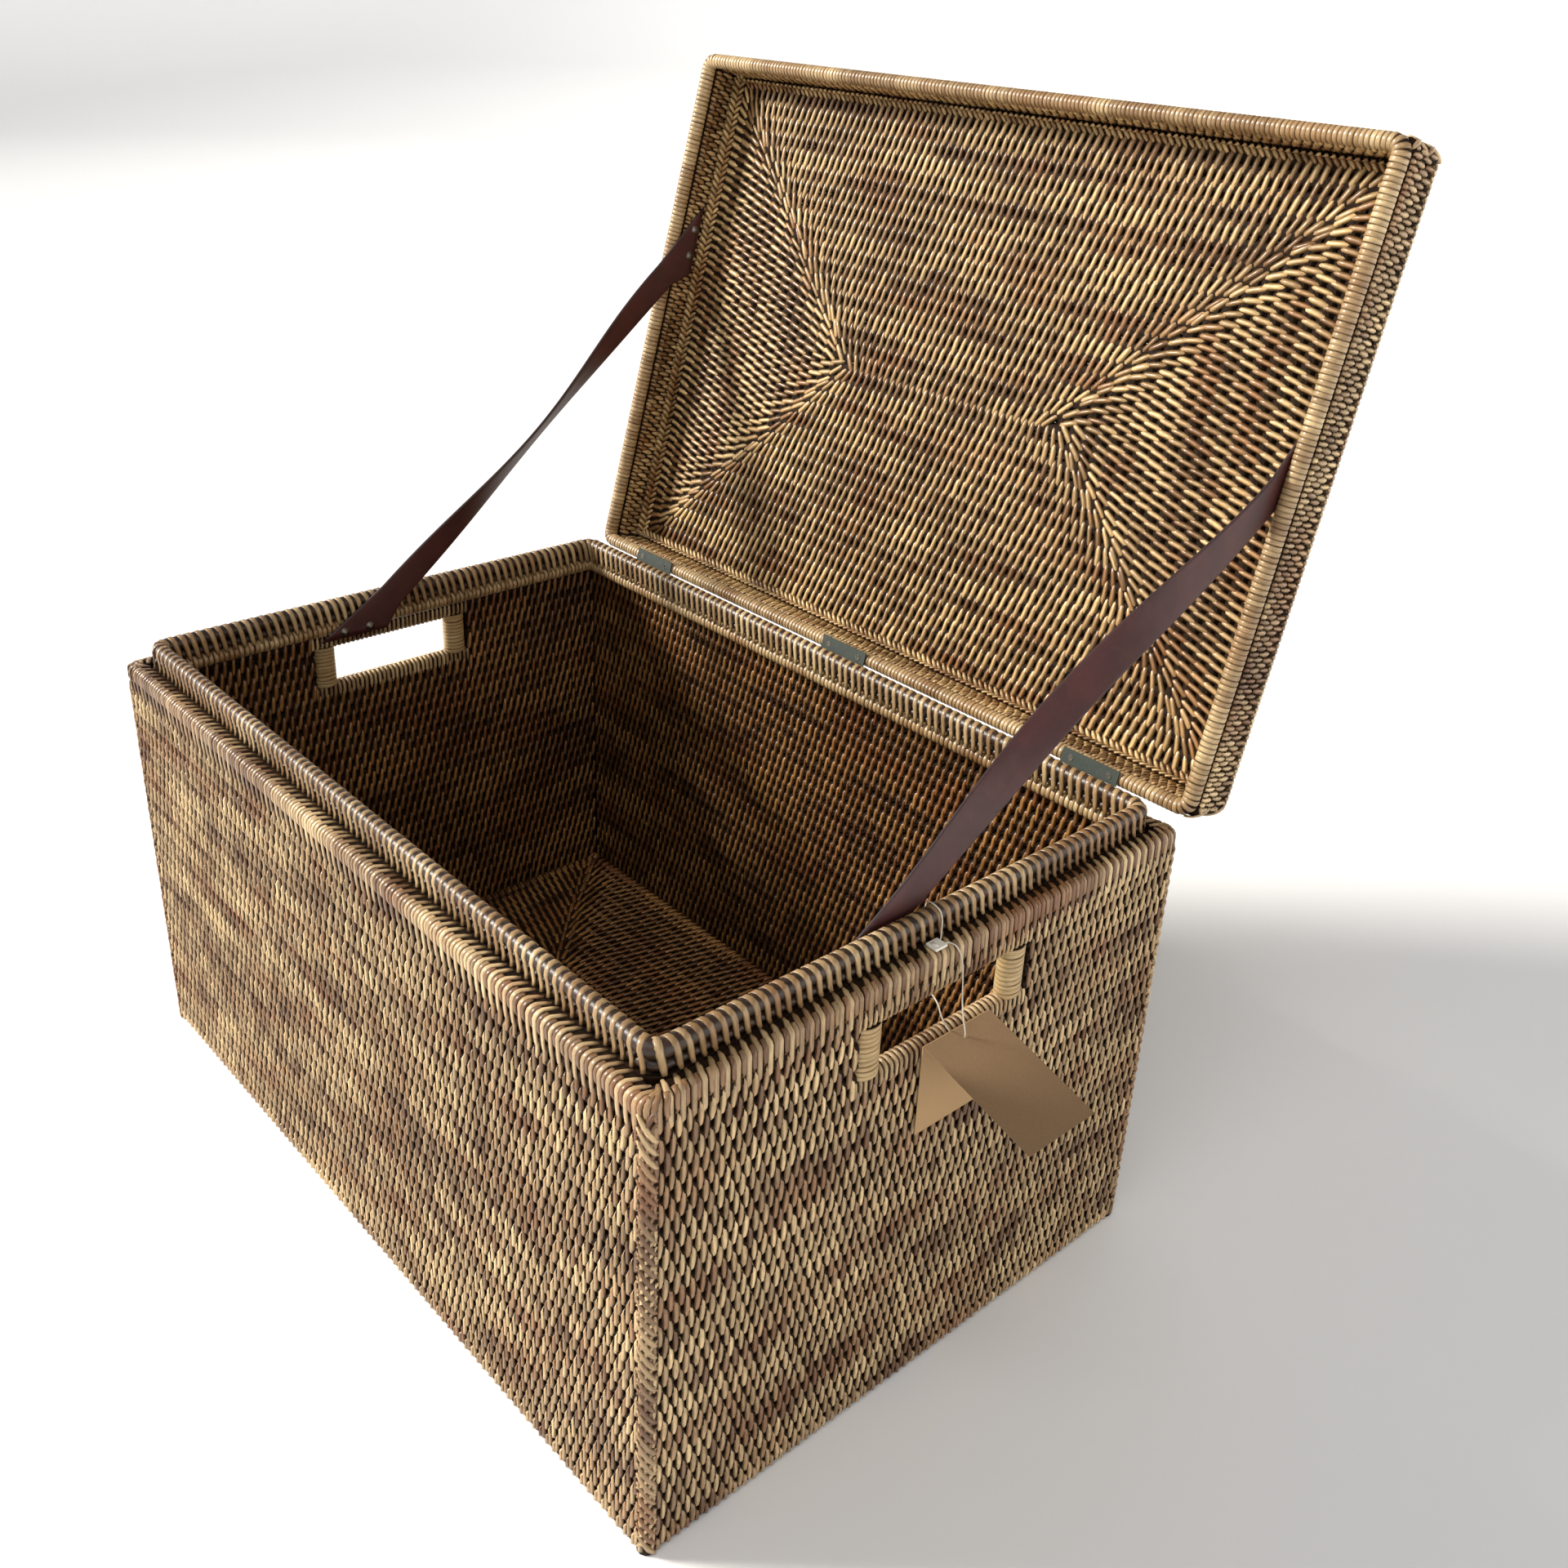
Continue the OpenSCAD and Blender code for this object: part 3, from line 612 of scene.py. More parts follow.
half_x, half_y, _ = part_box("foot_rail")[1]
wall_low, wall_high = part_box("wall_front")
wall_t = wall_high.y - wall_low.y
wall_top = wall_high.z
floor_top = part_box("floor_panel")[1].z
peel = 0.9 * MM
stitch_pitch = 8.3 * MM
wall_rows = 30
wall_row = wall_top / wall_rows
corner_w = 8 * MM

outside_stitch = stitch("outside_stitch", length=23 * MM, width=5.6 * MM, thick=1.5 * MM,
                        row=wall_row, bow=1.1 * MM, slant=0.03, taper=0.4)
inside_stitch = stitch("inside_stitch", length=24 * MM, width=5.3 * MM, thick=1.4 * MM,
                       row=wall_row, bow=0.2 * MM, slant=0.14, taper=0.6)


def place_on(origin, along, up):
    """Sets X along, Y up and Z out of a face."""
    along, up = Vector(along), Vector(up)
    out = along.cross(up)
    return Matrix([[along[i], up[i], out[i], origin[i]] for i in range(3)] + [[0, 0, 0, 1]])


def field(place, length, rows, row, stitch_object, cane, seed, **more):
    """A flat field of stitches: X along its rows, Y up them and Z out of its face."""
    values = {"Stitch": stitch_object, "Length": length, "Rows": rows, "Row": row,
              "Pitch": stitch_pitch, "Cane": cane, "Rod": weave_rod, "Seed": seed,
              "Loose": math.radians(4), "Tone": 0.5, "First": 1.0, "Last": 0.0,
              "Hole wide": -1.0, "Rod deep": 0.0}
    values.update(more)
    mesh = grown(lay_stitches, values)
    mesh.transform(place)
    return mesh


sleeve_low, sleeve_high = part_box("sleeve_right_front")
sill_low, sill_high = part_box("hole_sill_right")
lintel_low, lintel_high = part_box("hole_lintel_right")
hole_half = -sleeve_low.y
under_sill, over_lintel = 3.5 * MM, 3 * MM
end_hole = {"Hole wide": hole_half, "Hole low": sill_low.z - under_sill,
            "Hole high": lintel_high.z + over_lintel}

walls = {
    "front": ((0, -1, 0), (1, 0, 0), half_x, half_y, {}),
    "right": ((1, 0, 0), (0, 1, 0), half_y, half_x, end_hole),
    "back": ((0, 1, 0), (-1, 0, 0), half_x, half_y, {}),
    "left": ((-1, 0, 0), (0, -1, 0), half_y, half_x, end_hole),
}
for number, (side, (out, along, half, face, hole)) in enumerate(walls.items()):
    out = Vector(out)
    outer = place_on(out * face, along, (0, 0, 1))
    mesh = field(outer, 2 * (half - corner_w), wall_rows, wall_row, outside_stitch, wall_cane,
                 seed=11 + number, **hole, **{
                     "Rod rows": wall_rows, "Rod deep": wall_t / 2 - peel,
                     "Rod sunk": wall_t / 2, "Rod end": corner_w - wall_t / 2})
    foot = ["foot_rail"] if side == "front" else []
    piece(f"weave_{side}_outside", [mesh], "trunk", "wicker", f"wall_{side}", *foot)
    inner = place_on(out * (face - wall_t), [-part for part in along], (0, 0, 1))
    mesh = field(inner, 2 * (half - wall_t), wall_rows, wall_row, inside_stitch, shaded_inside_cane,
                 seed=21 + number, **hole, First=0.0)
    piece(f"weave_{side}_inside", [mesh], "trunk", "wicker")


def mitred(width, depth, row, height, upward, stitch_object, cane, seed, **more):
    """Four fields that meet on the corners' bisectors, as concentric rows do."""
    meshes = []
    rows = round(depth / 2 / row)
    row = depth / 2 / rows
    for turn_number in range(4):
        long_way = turn_number % 2 == 0
        length, reach_out = (width, depth / 2) if long_way else (depth, width / 2)
        spin = math.radians(90 * turn_number)
        inward = Vector((-math.sin(spin), math.cos(spin), 0))
        along = Vector((math.cos(spin), math.sin(spin), 0)) * (1 if upward else -1)
        place = place_on(-inward * reach_out + Vector((0, 0, height)), along, inward)
        spine = turn_number == 0
        meshes.append(field(place, length, rows + spine, row, stitch_object, cane,
                            seed=seed + turn_number, Mitre=1.0, Fan=math.radians(52), **more,
                            **{"Rod end": row / 2}))
    return meshes


flat_row = 13 * MM
floor_stitch = stitch("floor_stitch", length=25 * MM, width=5.6 * MM, thick=1.1 * MM,
                      row=flat_row, bow=0.2 * MM, slant=0.14, taper=0.65)
flat_rod_rows = 18
floor_rod = {"Rod rows": flat_rod_rows, "Rod deep": floor_top / 2 - peel,
             "Rod sunk": floor_top / 2}
floor_size = (2 * (half_x - wall_t), 2 * (half_y - wall_t))
piece("weave_floor_top", mitred(*floor_size, flat_row, floor_top, True, floor_stitch,
                                shaded_inside_cane, seed=31, **floor_rod),
      "trunk", "wicker", "floor_panel")
piece("weave_floor_under", mitred(*floor_size, flat_row, 0, False, floor_stitch,
                                  wall_cane, seed=41),
      "trunk", "wicker")


# ---- Corner bindings ----
# A round post stands in each upright edge. Slim strands of peel cross over it and hold
# the ends of the walls' rods on both sides.

def binding_tree():
    """Sets a strand again and again along a path, its face turned out."""
    tree, given = geometry_tree("bind_along", {
        "Strand": "Object", "Pitch": "Float", "Out": "Vector", "Lean": "Float",
        "Loose": "Float", "Shift": "Float", "Tone": "Float", "Seed": "Int",
        "Cane": "Material"})
    seed = given["Seed"]
    path = tree.node("GeometryNodeMeshToCurve", {}, {0: given["Geometry"]})
    length = tree.node("GeometryNodeCurveLength", {}, {0: path})
    count = (length / given["Pitch"]).apply("ROUND")
    path = tree.node("GeometryNodeResampleCurve", {"mode": "COUNT"},
                     {"Curve": path, "Count": count})
    tangent = tree.node("GeometryNodeInputTangent")
    facing = tree.node("FunctionNodeAxesToRotation",
                       {"primary_axis": "Z", "secondary_axis": "X"},
                       {0: given["Out"], 1: tangent})
    model = tree.node("GeometryNodeObjectInfo", {"transform_space": "ORIGINAL"},
                      {"Object": given["Strand"]}, "Geometry")
    strands = tree.node("GeometryNodeInstanceOnPoints", {}, {
        "Points": path, "Instance": model, "Rotation": facing})
    strands = tree.node("GeometryNodeRotateInstances", {}, {
        "Instances": strands, "Local Space": True,
        "Rotation": tree.vector(0, 0, given["Lean"] + given["Loose"]
                                * random_number(tree, -1.0, 1.0, seed))})
    strands = tree.node("GeometryNodeTranslateInstances", {}, {
        "Instances": strands, "Local Space": True,
        "Translation": tree.vector(given["Shift"] + given["Pitch"]
                                   * random_number(tree, -0.06, 0.06, seed + 1), 0, 0)})
    strands = store(tree, strands, "cane", strand_tones(tree, (14, 14, 14), given), "INSTANCE")
    tree.node("NodeGroupOutput", {}, {0: finished(tree, strands, given["Cane"])})
    return tree.tree


bind_along = binding_tree()


def path_mesh(points, closed=True):
    count = len(points)
    edges = [(i, (i + 1) % count) for i in range(count if closed else count - 1)]
    mesh = bpy.data.meshes.new("path")
    mesh.from_pydata(points, edges, [])
    return mesh


def core(points, section, material, up=(0, 0, 1), closed=True):
    """Sweeps a section, points (to the left of travel, up), along a path."""
    count, sides = len(points), len(section)
    verts = []
    for i, point in enumerate(points):
        before = points[i - 1] if i or closed else point
        after = points[(i + 1) % count] if i < count - 1 or closed else point
        left = Vector(up).cross((after - before).normalized()).normalized()
        into, out = (point - before), (after - point)
        spread = 1.0
        if into.length > 0 and out.length > 0:
            spread = 1 / max(math.cos(into.angle(out) / 2), 0.5)
        verts += [point + left * across * spread + Vector(up) * rise
                  for across, rise in section]
    mesh = solid("core", verts, ring_faces(count, sides, closed), lambda face: sides > 6)
    mesh.materials.append(material)
    return mesh


def oval(across, up, sides=12, left=0.0, rise=0.0):
    """An oval section with its middle at left, rise."""
    return [(left + across * math.cos(2 * math.pi * i / sides),
             rise + up * math.sin(2 * math.pi * i / sides)) for i in range(sides)]


def bound(points, strand_object, pitch, cane, seed, closed=True, out=(0, 0, 1), **more):
    """Cane set along a path; more are the tree's other sizes."""
    values = {"Strand": strand_object, "Pitch": pitch, "Out": out, "Cane": cane, "Seed": seed,
              "Loose": math.radians(2), "Tone": 0.5}
    values.update(more)
    return grown(bind_along, values, path_mesh(points, closed))


edge_r = 8 * MM


def edge_strand(name, slant, depth_of, reach_of, width):
    """A strand from one face round the rounded edge to the other face."""
    path = []
    points = [(reach_of, 0.4 * MM)]
    for i in range(5):
        angle = math.radians(22.5 * i)
        points.append((edge_r - edge_r * math.sin(angle), edge_r - edge_r * math.cos(angle)))
    points.append((0.4 * MM, reach_of))
    turn_back = math.sqrt(0.5)
    for i, (a, b) in enumerate(points):
        path.append((slant * (a - b), (a - b) * turn_back, -(a + b) * turn_back + depth_of))
    return strand(name, path, width, 1.5 * MM, taper=0.5)


crossing = [edge_strand("edge_strand_up", 1.0, 0.9 * MM, 10 * MM, 4.8 * MM),
            edge_strand("edge_strand_down", -1.0, 0.4 * MM, 10 * MM, 4.8 * MM)]
crossing_pitch = 9.2 * MM
corners = (("front_left", -1, -1), ("front_right", 1, -1), ("back_right", 1, 1),
           ("back_left", -1, 1))


def corner_binding(sx, sy, post_ends, strand_ends, seed, tone):
    """A post in an upright edge and the strands crossed over it; ends are heights."""
    corner = Vector((sx * half_x, sy * half_y, 0))
    out = Vector((sx, sy, 0)).normalized()
    line, edge = ([corner - out * back + Vector((0, 0, height)) for height in heights]
                  for heights, back in ((post_ends, edge_r * math.sqrt(2)), (strand_ends, 0)))
    post = core(line, oval(edge_r - peel, edge_r - peel), weave_rod, out, closed=False)
    return [post] + [bound(edge, crossed, crossing_pitch, wall_cane, seed=seed + k,
                           closed=False, out=tuple(out), Shift=k * crossing_pitch / 2,
                           Tone=tone)
                     for k, crossed in enumerate(crossing)]


for number, (name, sx, sy) in enumerate(corners):
    piece(f"corner_binding_{name}",
          corner_binding(sx, sy, (0.5 * MM, wall_top), (11 * MM, wall_top - 6 * MM),
                         seed=51 + 2 * number, tone=0.35),
          "trunk", "wicker", f"corner_post_{name}")


# ---- Shoulder ----
# The wall's top turns in to a flat ledge. Strands come down off the upstand, cross the
# ledge aslant and turn over its edge to become the first row of stitches.

def ring_path(half_x, half_y, height, bend, steps=6):
    """A flat rounded rectangle, anticlockwise seen from above."""
    points = []
    for corner, (sx, sy) in enumerate(((1, -1), (1, 1), (-1, 1), (-1, -1))):
        for i in range(steps + 1):
            angle = math.radians(-90 + 90 * corner + 90 * i / steps)
            points.append(Vector((sx * (half_x - bend) + bend * math.cos(angle),
                                  sy * (half_y - bend) + bend * math.sin(angle), height)))
    return points


shoulder_low, shoulder_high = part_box("shoulder_rail")
ledge = 16 * MM
edge_round = 6 * MM


def lacing(name, inner, outer, width, slant):
    """A strand from inner across a flat top, over a rounded edge and down to outer."""
    path = [(slant * inner, inner, -0.8 * MM), (slant * (inner + edge_round) / 2,
                                                (inner + edge_round) / 2, 0)]
    for i in range(4):
        angle = math.radians(30 * i)
        path.append((slant * edge_round * (1 - i / 3) * 0.7,
                     edge_round * (1 - math.sin(angle)),
                     -edge_round * (1 - math.cos(angle))))
    path += [(0.3 * MM, 0, -(edge_round + outer) / 2), (0.8 * MM, 0.3 * MM, -outer + 4 * MM),
             (0.6 * MM, 2.2 * MM, -outer)]
    return strand(name, path, width, peel, taper=0.55, flat=True)


def edge_block(height):
    """The rail under a lacing: square, with its outer top edge taken off."""
    return [(0, -height), (wall_t - 1.6 * MM, -height), (wall_t - 1.6 * MM, -1.2 * MM),
            (4.6 * MM, -1.2 * MM), (1.4 * MM, -2.8 * MM), (0, -edge_round)]


ledge_strand = lacing("ledge_strand", inner=15 * MM, outer=27 * MM, width=5.1 * MM,
                      slant=0.34)
edge_turn = lacing("edge_turn", inner=7.5 * MM, outer=17 * MM, width=4.4 * MM, slant=0.34)


def laced_edge(top, height):
    """The outline that strands are laced along, and the rail under them."""
    core_in = 1.4 * MM
    rail = core(ring_path(half_x - core_in, half_y - core_in, top, 10 * MM),
                edge_block(height), weave_rod)
    return ring_path(half_x, half_y, top, 12 * MM), rail


outline, shoulder_core = laced_edge(shoulder_high.z, shoulder_high.z - shoulder_low.z)
piece("shoulder_lacing", [
    shoulder_core,
    bound(outline, ledge_strand, stitch_pitch, wall_cane, seed=61, Loose=math.radians(4),
          Tone=0.46),
    # Tone 0.2 darkens the short strands: painted shade in the gaps between the long ledge strands.
    bound(outline, edge_turn, stitch_pitch, wall_cane, seed=62, Loose=math.radians(4),
          Shift=stitch_pitch / 2, Tone=0.2),
], "trunk", "wicker", "shoulder_rail")


# ---- Upstand ----
# Two dark polished rods stand one on the other on the ledge, for the lid to drop over.
# Spaced turns of peel hold them down: over the top rod, down its outside to the ledge and
# down its inside to the beaded rail.

binding_cane = cane_material("binding_cane", srgb(218, 188, 138), srgb(142, 108, 68),
                             srgb(156, 112, 68), 0.26)
rim_rod = rod_material("rim_rod", srgb(66, 44, 30), srgb(30, 20, 14), 0.28, 0.5)

rod_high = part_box("upstand_rail")[1]
rod_r = (rod_high.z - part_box("upstand_low_rail")[1].z) / 2
rod_in = half_x - rod_high.x + rod_r
rod_line = ring_path(half_x - rod_in, half_y - rod_in, rod_high.z - rod_r, 9 * MM)
turn_t = 0.8 * MM
rod_core = core(rod_line, oval(rod_r - turn_t, rod_r - turn_t, sides=16), rim_rod)
low_core = core(rod_line, oval(5.6 * MM, 4.2 * MM, rise=-(rod_r + 3.2 * MM)), rim_rod)
ledge_drop = rod_high.z - rod_r - shoulder_high.z
rod_turn = strand("rod_turn", [
    (-4.4 * MM, 1.12 * rod_r, -ledge_drop - 2 * MM), (-3.4 * MM, 1.02 * rod_r, -1.5 * rod_r),
    (-2.6 * MM, 1.02 * rod_r, -0.7 * rod_r), (-1.8 * MM, rod_r, -0.2 * rod_r),
    (-1 * MM, 0.86 * rod_r, 0.5 * rod_r), (-0.4 * MM, 0.45 * rod_r, 0.89 * rod_r),
    (0.4 * MM, -0.2 * rod_r, 0.98 * rod_r), (1.2 * MM, -0.75 * rod_r, 0.66 * rod_r),
    (2 * MM, -rod_r, 0), (3 * MM, -0.95 * rod_r, -0.6 * rod_r),
    (4 * MM, -0.93 * rod_r, -ledge_drop * 0.75), (4.8 * MM, -1.05 * rod_r, -ledge_drop),
], width=5.5 * MM, thick=turn_t, taper=0.65, flat=True)
piece("upstand_rod", [
    rod_core, bound(rod_line, rod_turn, stitch_pitch, binding_cane, seed=71, Tone=0.4)],
    "trunk", "rim_rod", "upstand_rail")
piece("upstand_low_rod", [low_core], "trunk", "rim_rod", "upstand_low_rail")


# ---- Beaded rail ----
# A rattan rod runs round inside the mouth against the walls' tops. It is closely bound
# with narrow cane, so that it looks beaded.

def block(left, right, low, high):
    """A rectangular section."""
    return [(left, low), (right, low), (right, high), (left, high)]


def turn(name, across, up, width, thick, sides=14):
    """One turn of binding cane round a rod."""
    angles = [2 * math.pi * i / sides for i in range(sides)]
    path = [(0, -math.sin(angle) * across, math.cos(angle) * up) for angle in angles]
    return strand(name, path, width, thick, round_end=True, flat=True)


bead_low, bead_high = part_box("inner_rail")
bead_r = (bead_high.z - bead_low.z) / 2
bead_in = rod_in + rod_r + 1 * MM - bead_r
bead_line = ring_path(half_x - bead_in, half_y - bead_in, bead_low.z + bead_r, 8 * MM)
bead_turn = turn("bead_turn", bead_r, bead_r, width=5.0 * MM, thick=peel)
bead_core = core(bead_line, oval(bead_r - 1 * MM, bead_r - 1 * MM), weave_rod)
# The strip that fills the joint between the rod and the wall's top
bead_back = core(bead_line, block(-9 * MM, -3 * MM, -bead_r + 0.8 * MM, bead_r - 1 * MM),
                 weave_rod)
piece("beaded_rail", [
    bead_core, bead_back,
    bound(bead_line, bead_turn, 4.7 * MM, binding_cane, seed=81, Lean=math.radians(7),
          Tone=0.5),
], "trunk", "wrap_cane", "inner_rail")


# ---- Hand holes ----
# Each end wall has a hand hole. Stakes closely wrapped in narrow pale cane are its two
# ends, and rods with strands of peel turned over them are its lower and upper edges.

def edge_wrap(name, height, width):
    """A strand up one face of the wall, over a round edge and down the other."""
    deep = wall_t / 2
    arch = deep * 0.9
    path = [(0.4 * MM, deep - 1.5 * MM, -height), (0, deep, -height + 4 * MM)]
    for i in range(7):
        angle = math.radians(30 * i)
        path.append((0, deep * math.cos(angle), arch * math.sin(angle) - arch))
    path += [(0, -deep, -height + 4 * MM), (-0.4 * MM, -deep + 1.5 * MM, -height)]
    return strand(name, path, width, thick=1.2 * MM, taper=0.6)


sleeve_cane = cane_material("sleeve_cane", srgb(208, 180, 128), srgb(182, 150, 100),
                            srgb(192, 150, 94), 0.34)
hole_wrap = edge_wrap("hole_wrap", height=17 * MM, width=4.4 * MM)
sleeve_turn = turn("sleeve_turn", (sleeve_high.x - sleeve_low.x) / 2,
                   (sleeve_high.y - sleeve_low.y) / 2, width=4.3 * MM, thick=0.55 * MM,
                   sides=20)
for side, sx in (("left", -1), ("right", 1)):
    mid_x = sx * (half_x - wall_t / 2)
    for edge_name, up, at_z, seed in (("sill", 1, sill_high.z, 91),
                                      ("lintel", -1, lintel_low.z, 93)):
        span = hole_half + 1 * MM
        line = [Vector((mid_x, -span, at_z)), Vector((mid_x, span, at_z))]
        upright = (0, 0, up)
        rod = core(line, oval(wall_t / 2 - 1.1 * MM, 6.2 * MM, sides=14, rise=-7.3 * MM),
                   weave_rod, upright, closed=False)
        back = core(line, block(2 * MM - wall_t / 2, wall_t / 2 - 2 * MM, -17 * MM, -6 * MM),
                    weave_rod, upright, closed=False)
        wraps = bound(line, hole_wrap, 4.6 * MM, wall_cane, seed, closed=False, out=upright,
                      Tone=0.45)
        piece(f"hole_{edge_name}_{side}_bound", [rod, back, wraps], "trunk", "wicker",
              f"hole_{edge_name}_{side}")
    for end_name, sy in (("front", -1), ("back", 1)):
        low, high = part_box(f"sleeve_{side}_{end_name}")
        centre = (low + high) / 2
        turns, stick = ([Vector((centre.x, centre.y, low.z + short)),
                         Vector((centre.x, centre.y, high.z - short))]
                        for short in (2 * MM, 0.5 * MM))
        wide = (high.y - low.y) / 2 - 1 * MM
        deep = (high.x - low.x) / 2 - 1 * MM
        stake = core(stick, oval(wide, deep, sides=16), weave_rod, (1, 0, 0), closed=False)
        wraps = bound(turns, sleeve_turn, 3.5 * MM, sleeve_cane, seed=95 + sy, closed=False,
                      out=(0, 1, 0), Lean=0.0, Loose=math.radians(4), Tone=0.6)
        piece(f"hole_sleeve_{side}_{end_name}", [stake, wraps], "trunk", "wrap_cane",
              f"sleeve_{side}_{end_name}")


# ---- Lid ----
# A shallow woven tray that drops over the upstand. It is made closed, and then turned
# open about the hinge pins to where it stands.

hinge = next(joint for joint in frame["joints"] if joint["name"] == "lid_hinge")
pin = Vector(hinge["pos_m"])
opening = Matrix.Rotation(-math.radians(hinge["range_deg"][1]), 4, Vector(hinge["axis"]))
open_lid = Matrix.Translation(pin) @ opening @ Matrix.Translation(-pin)
close_lid = open_lid.inverted()


def closed_box(node):
    """A lid node's box with the lid closed."""
    points = [close_lid @ vertex.co for vertex in frame["nodes"][node].data.vertices]
    return (Vector([min(point[i] for point in points) for i in range(3)]),
            Vector([max(point[i] for point in points) for i in range(3)]))


def lid_piece(name, meshes, slot, *nodes):
    for mesh in meshes:
        mesh.transform(open_lid)
    return piece(name, meshes, "lid", slot, *nodes)


lid_cane = cane_material("lid_cane", srgb(240, 202, 140), srgb(122, 86, 46),
                         srgb(156, 98, 50), 0.22)
rim_low, rim_high = closed_box("lid_rim_rail")
side_low, side_high = closed_box("lid_front")
panel_low, panel_high = closed_box("lid_panel")
lid_t = side_high.y - side_low.y
rim_deep, rim_up = lid_t / 2, (rim_high.z - rim_low.z) / 2

rim_line = ring_path(half_x - rim_deep, half_y - rim_deep, rim_low.z + rim_up, 8 * MM)
rim_turn = turn("rim_turn", rim_deep, rim_up, width=4.5 * MM, thick=0.5 * MM)
lid_piece("lid_rim_bound", [
    core(rim_line, oval(rim_deep - 0.5 * MM, rim_up - 0.5 * MM), weave_rod),
    bound(rim_line, rim_turn, 4.1 * MM, binding_cane, seed=101, Lean=math.radians(3),
          Tone=0.5),
], "wrap_cane", "lid_rim_rail")

tray_rows = 5
tray_row = (panel_high.z - rim_high.z - 4.5 * MM) / tray_rows
tray_stitch = stitch("tray_stitch", length=13 * MM, width=4.7 * MM, thick=1.2 * MM,
                     row=tray_row, bow=0, slant=0, taper=0.9, steps=4)
tray_inside = stitch("tray_inside", length=14 * MM, width=5.2 * MM, thick=1.1 * MM,
                     row=7.5 * MM, bow=0, slant=0.1, taper=0.7, steps=4)
inside_rows = 4
inside_row = (side_high.z - rim_high.z) / inside_rows
for number, (side, (out, along, half, face, _)) in enumerate(walls.items()):
    out = Vector(out)
    outer = place_on(out * face + Vector((0, 0, rim_high.z)), along, (0, 0, 1))
    mesh = field(outer, 2 * (half - 5 * MM), tray_rows, tray_row, tray_stitch, wall_cane,
                 seed=111 + number, **{"Rod rows": tray_rows, "Rod deep": lid_t / 2 - peel,
                                       "Rod sunk": lid_t / 2, "Rod end": -2 * MM})
    inner = place_on(out * (face - lid_t) + Vector((0, 0, rim_high.z)),
                     [-part for part in along], (0, 0, 1))
    lining = field(inner, 2 * (half - lid_t), inside_rows, inside_row, tray_inside,
                   lid_cane, seed=121 + number, Last=1.0)
    lid_piece(f"weave_lid_{side}", [mesh, lining], "wicker", f"lid_{side}")

for number, (name, sx, sy) in enumerate(corners):
    lid_piece(f"lid_corner_{name}",
              corner_binding(sx, sy, (rim_high.z, panel_high.z - 6 * MM),
                             (rim_high.z + 5 * MM, panel_high.z - 16 * MM),
                             seed=131 + 2 * number, tone=0.5),
              "wicker", f"lid_post_{name}")

lid_edge_strand = lacing("lid_edge_strand", inner=14 * MM, outer=11 * MM, width=4.6 * MM,
                         slant=0.1)
lid_outline, edge_core = laced_edge(panel_high.z, panel_high.z - panel_low.z)
lid_piece("lid_edge_lacing", [
    edge_core, bound(lid_outline, lid_edge_strand, 4.6 * MM, wall_cane, seed=141, Tone=0.5),
], "wicker", "lid_edge_rail")

panel_stitch = stitch("panel_stitch", length=25 * MM, width=5.6 * MM, thick=1.4 * MM,
                      row=flat_row, bow=0.2 * MM, slant=0.18, taper=0.7)
panel_t = panel_high.z - panel_low.z
panel_rod = {"Rod rows": flat_rod_rows, "Rod deep": panel_t / 2 - peel,
             "Rod sunk": panel_t / 2}
laced = 11 * MM
inner_size = (2 * (half_x - lid_t), 2 * (half_y - lid_t))
outer_size = (2 * (half_x - laced), 2 * (half_y - laced))
lid_piece("weave_lid_inside", mitred(*inner_size, flat_row, panel_low.z, False, panel_stitch,
                                     lid_cane, seed=151, First=0.0, **panel_rod),
          "wicker", "lid_panel")
lid_piece("weave_lid_top", mitred(*outer_size, flat_row, panel_high.z, True, panel_stitch,
                                  wall_cane, seed=161, First=0.0), "wicker")


# ---- Braid inside the lid ----
# Where the lid's sides meet its panel, two rows of short strands of peel are laced over
# the joint, one on each face, and meet in a chevron.

def chevron(name, on_side):
    """One strand of the braid, on the lid's side or on its panel."""
    reach_of = 9 * MM
    stand_off = 1.5 * MM
    path = []
    for i in range(4):
        t = i / 3
        lift = 0.8 * MM * math.sin(math.pi * t)
        if on_side:
            path.insert(0, (0.8 * reach_of * (1 - t), lift + stand_off, -reach_of * (1 - t)))
        else:
            path.append((0.8 * reach_of * t, reach_of * t, -lift - stand_off))
    return strand(name, path, 4.8 * MM, 1.6 * MM, taper=0.6)


braid_line = ring_path(half_x - lid_t, half_y - lid_t, side_high.z, 2 * MM, 2)
side_chevron = chevron("side_chevron", True)
panel_chevron = chevron("panel_chevron", False)
lid_piece("lid_braid", [
    bound(braid_line, side_chevron, 6.2 * MM, lid_cane, seed=171, Tone=0.55),
    bound(braid_line, panel_chevron, 6.2 * MM, lid_cane, seed=172, Tone=0.55)], "wicker")


# ---- Hinges ----
# Three steel butt hinges, painted grey-green before the trunk was finished, each leaf
# held by two screws.

def painted_metal():
    material, tree = new_material("hinge_paint")
    place = object_place(tree)
    mottle = tree.noise(place, 140, 4, 0.6)
    worn = tree.limit(tree.noise(place, 420, 5, 0.7), 0.6, 0.72)
    colour = tree.mix(mottle, srgb(38, 48, 42), srgb(58, 68, 60))
    colour = tree.mix(worn * 0.7, colour, srgb(112, 98, 74))
    finish_material(tree, colour, mottle * 0.2 + 0.42, mottle + worn * -0.5, 0.3, 0.0002)
    return material


def bare_metal(name, light, dark, rough):
    material, tree = new_material(name)
    place = object_place(tree)
    brushed = tree.noise(place, 1500, 3, 0.6)
    stain = tree.limit(tree.noise(place, 260, 3), 0.52, 0.68)
    colour = tree.mix(stain * 0.6, tree.mix(brushed, dark, light), srgb(70, 60, 50))
    finish_material(tree, colour, brushed * 0.2 + rough, brushed, 0.2, 0.0001, Metallic=1.0)
    return material


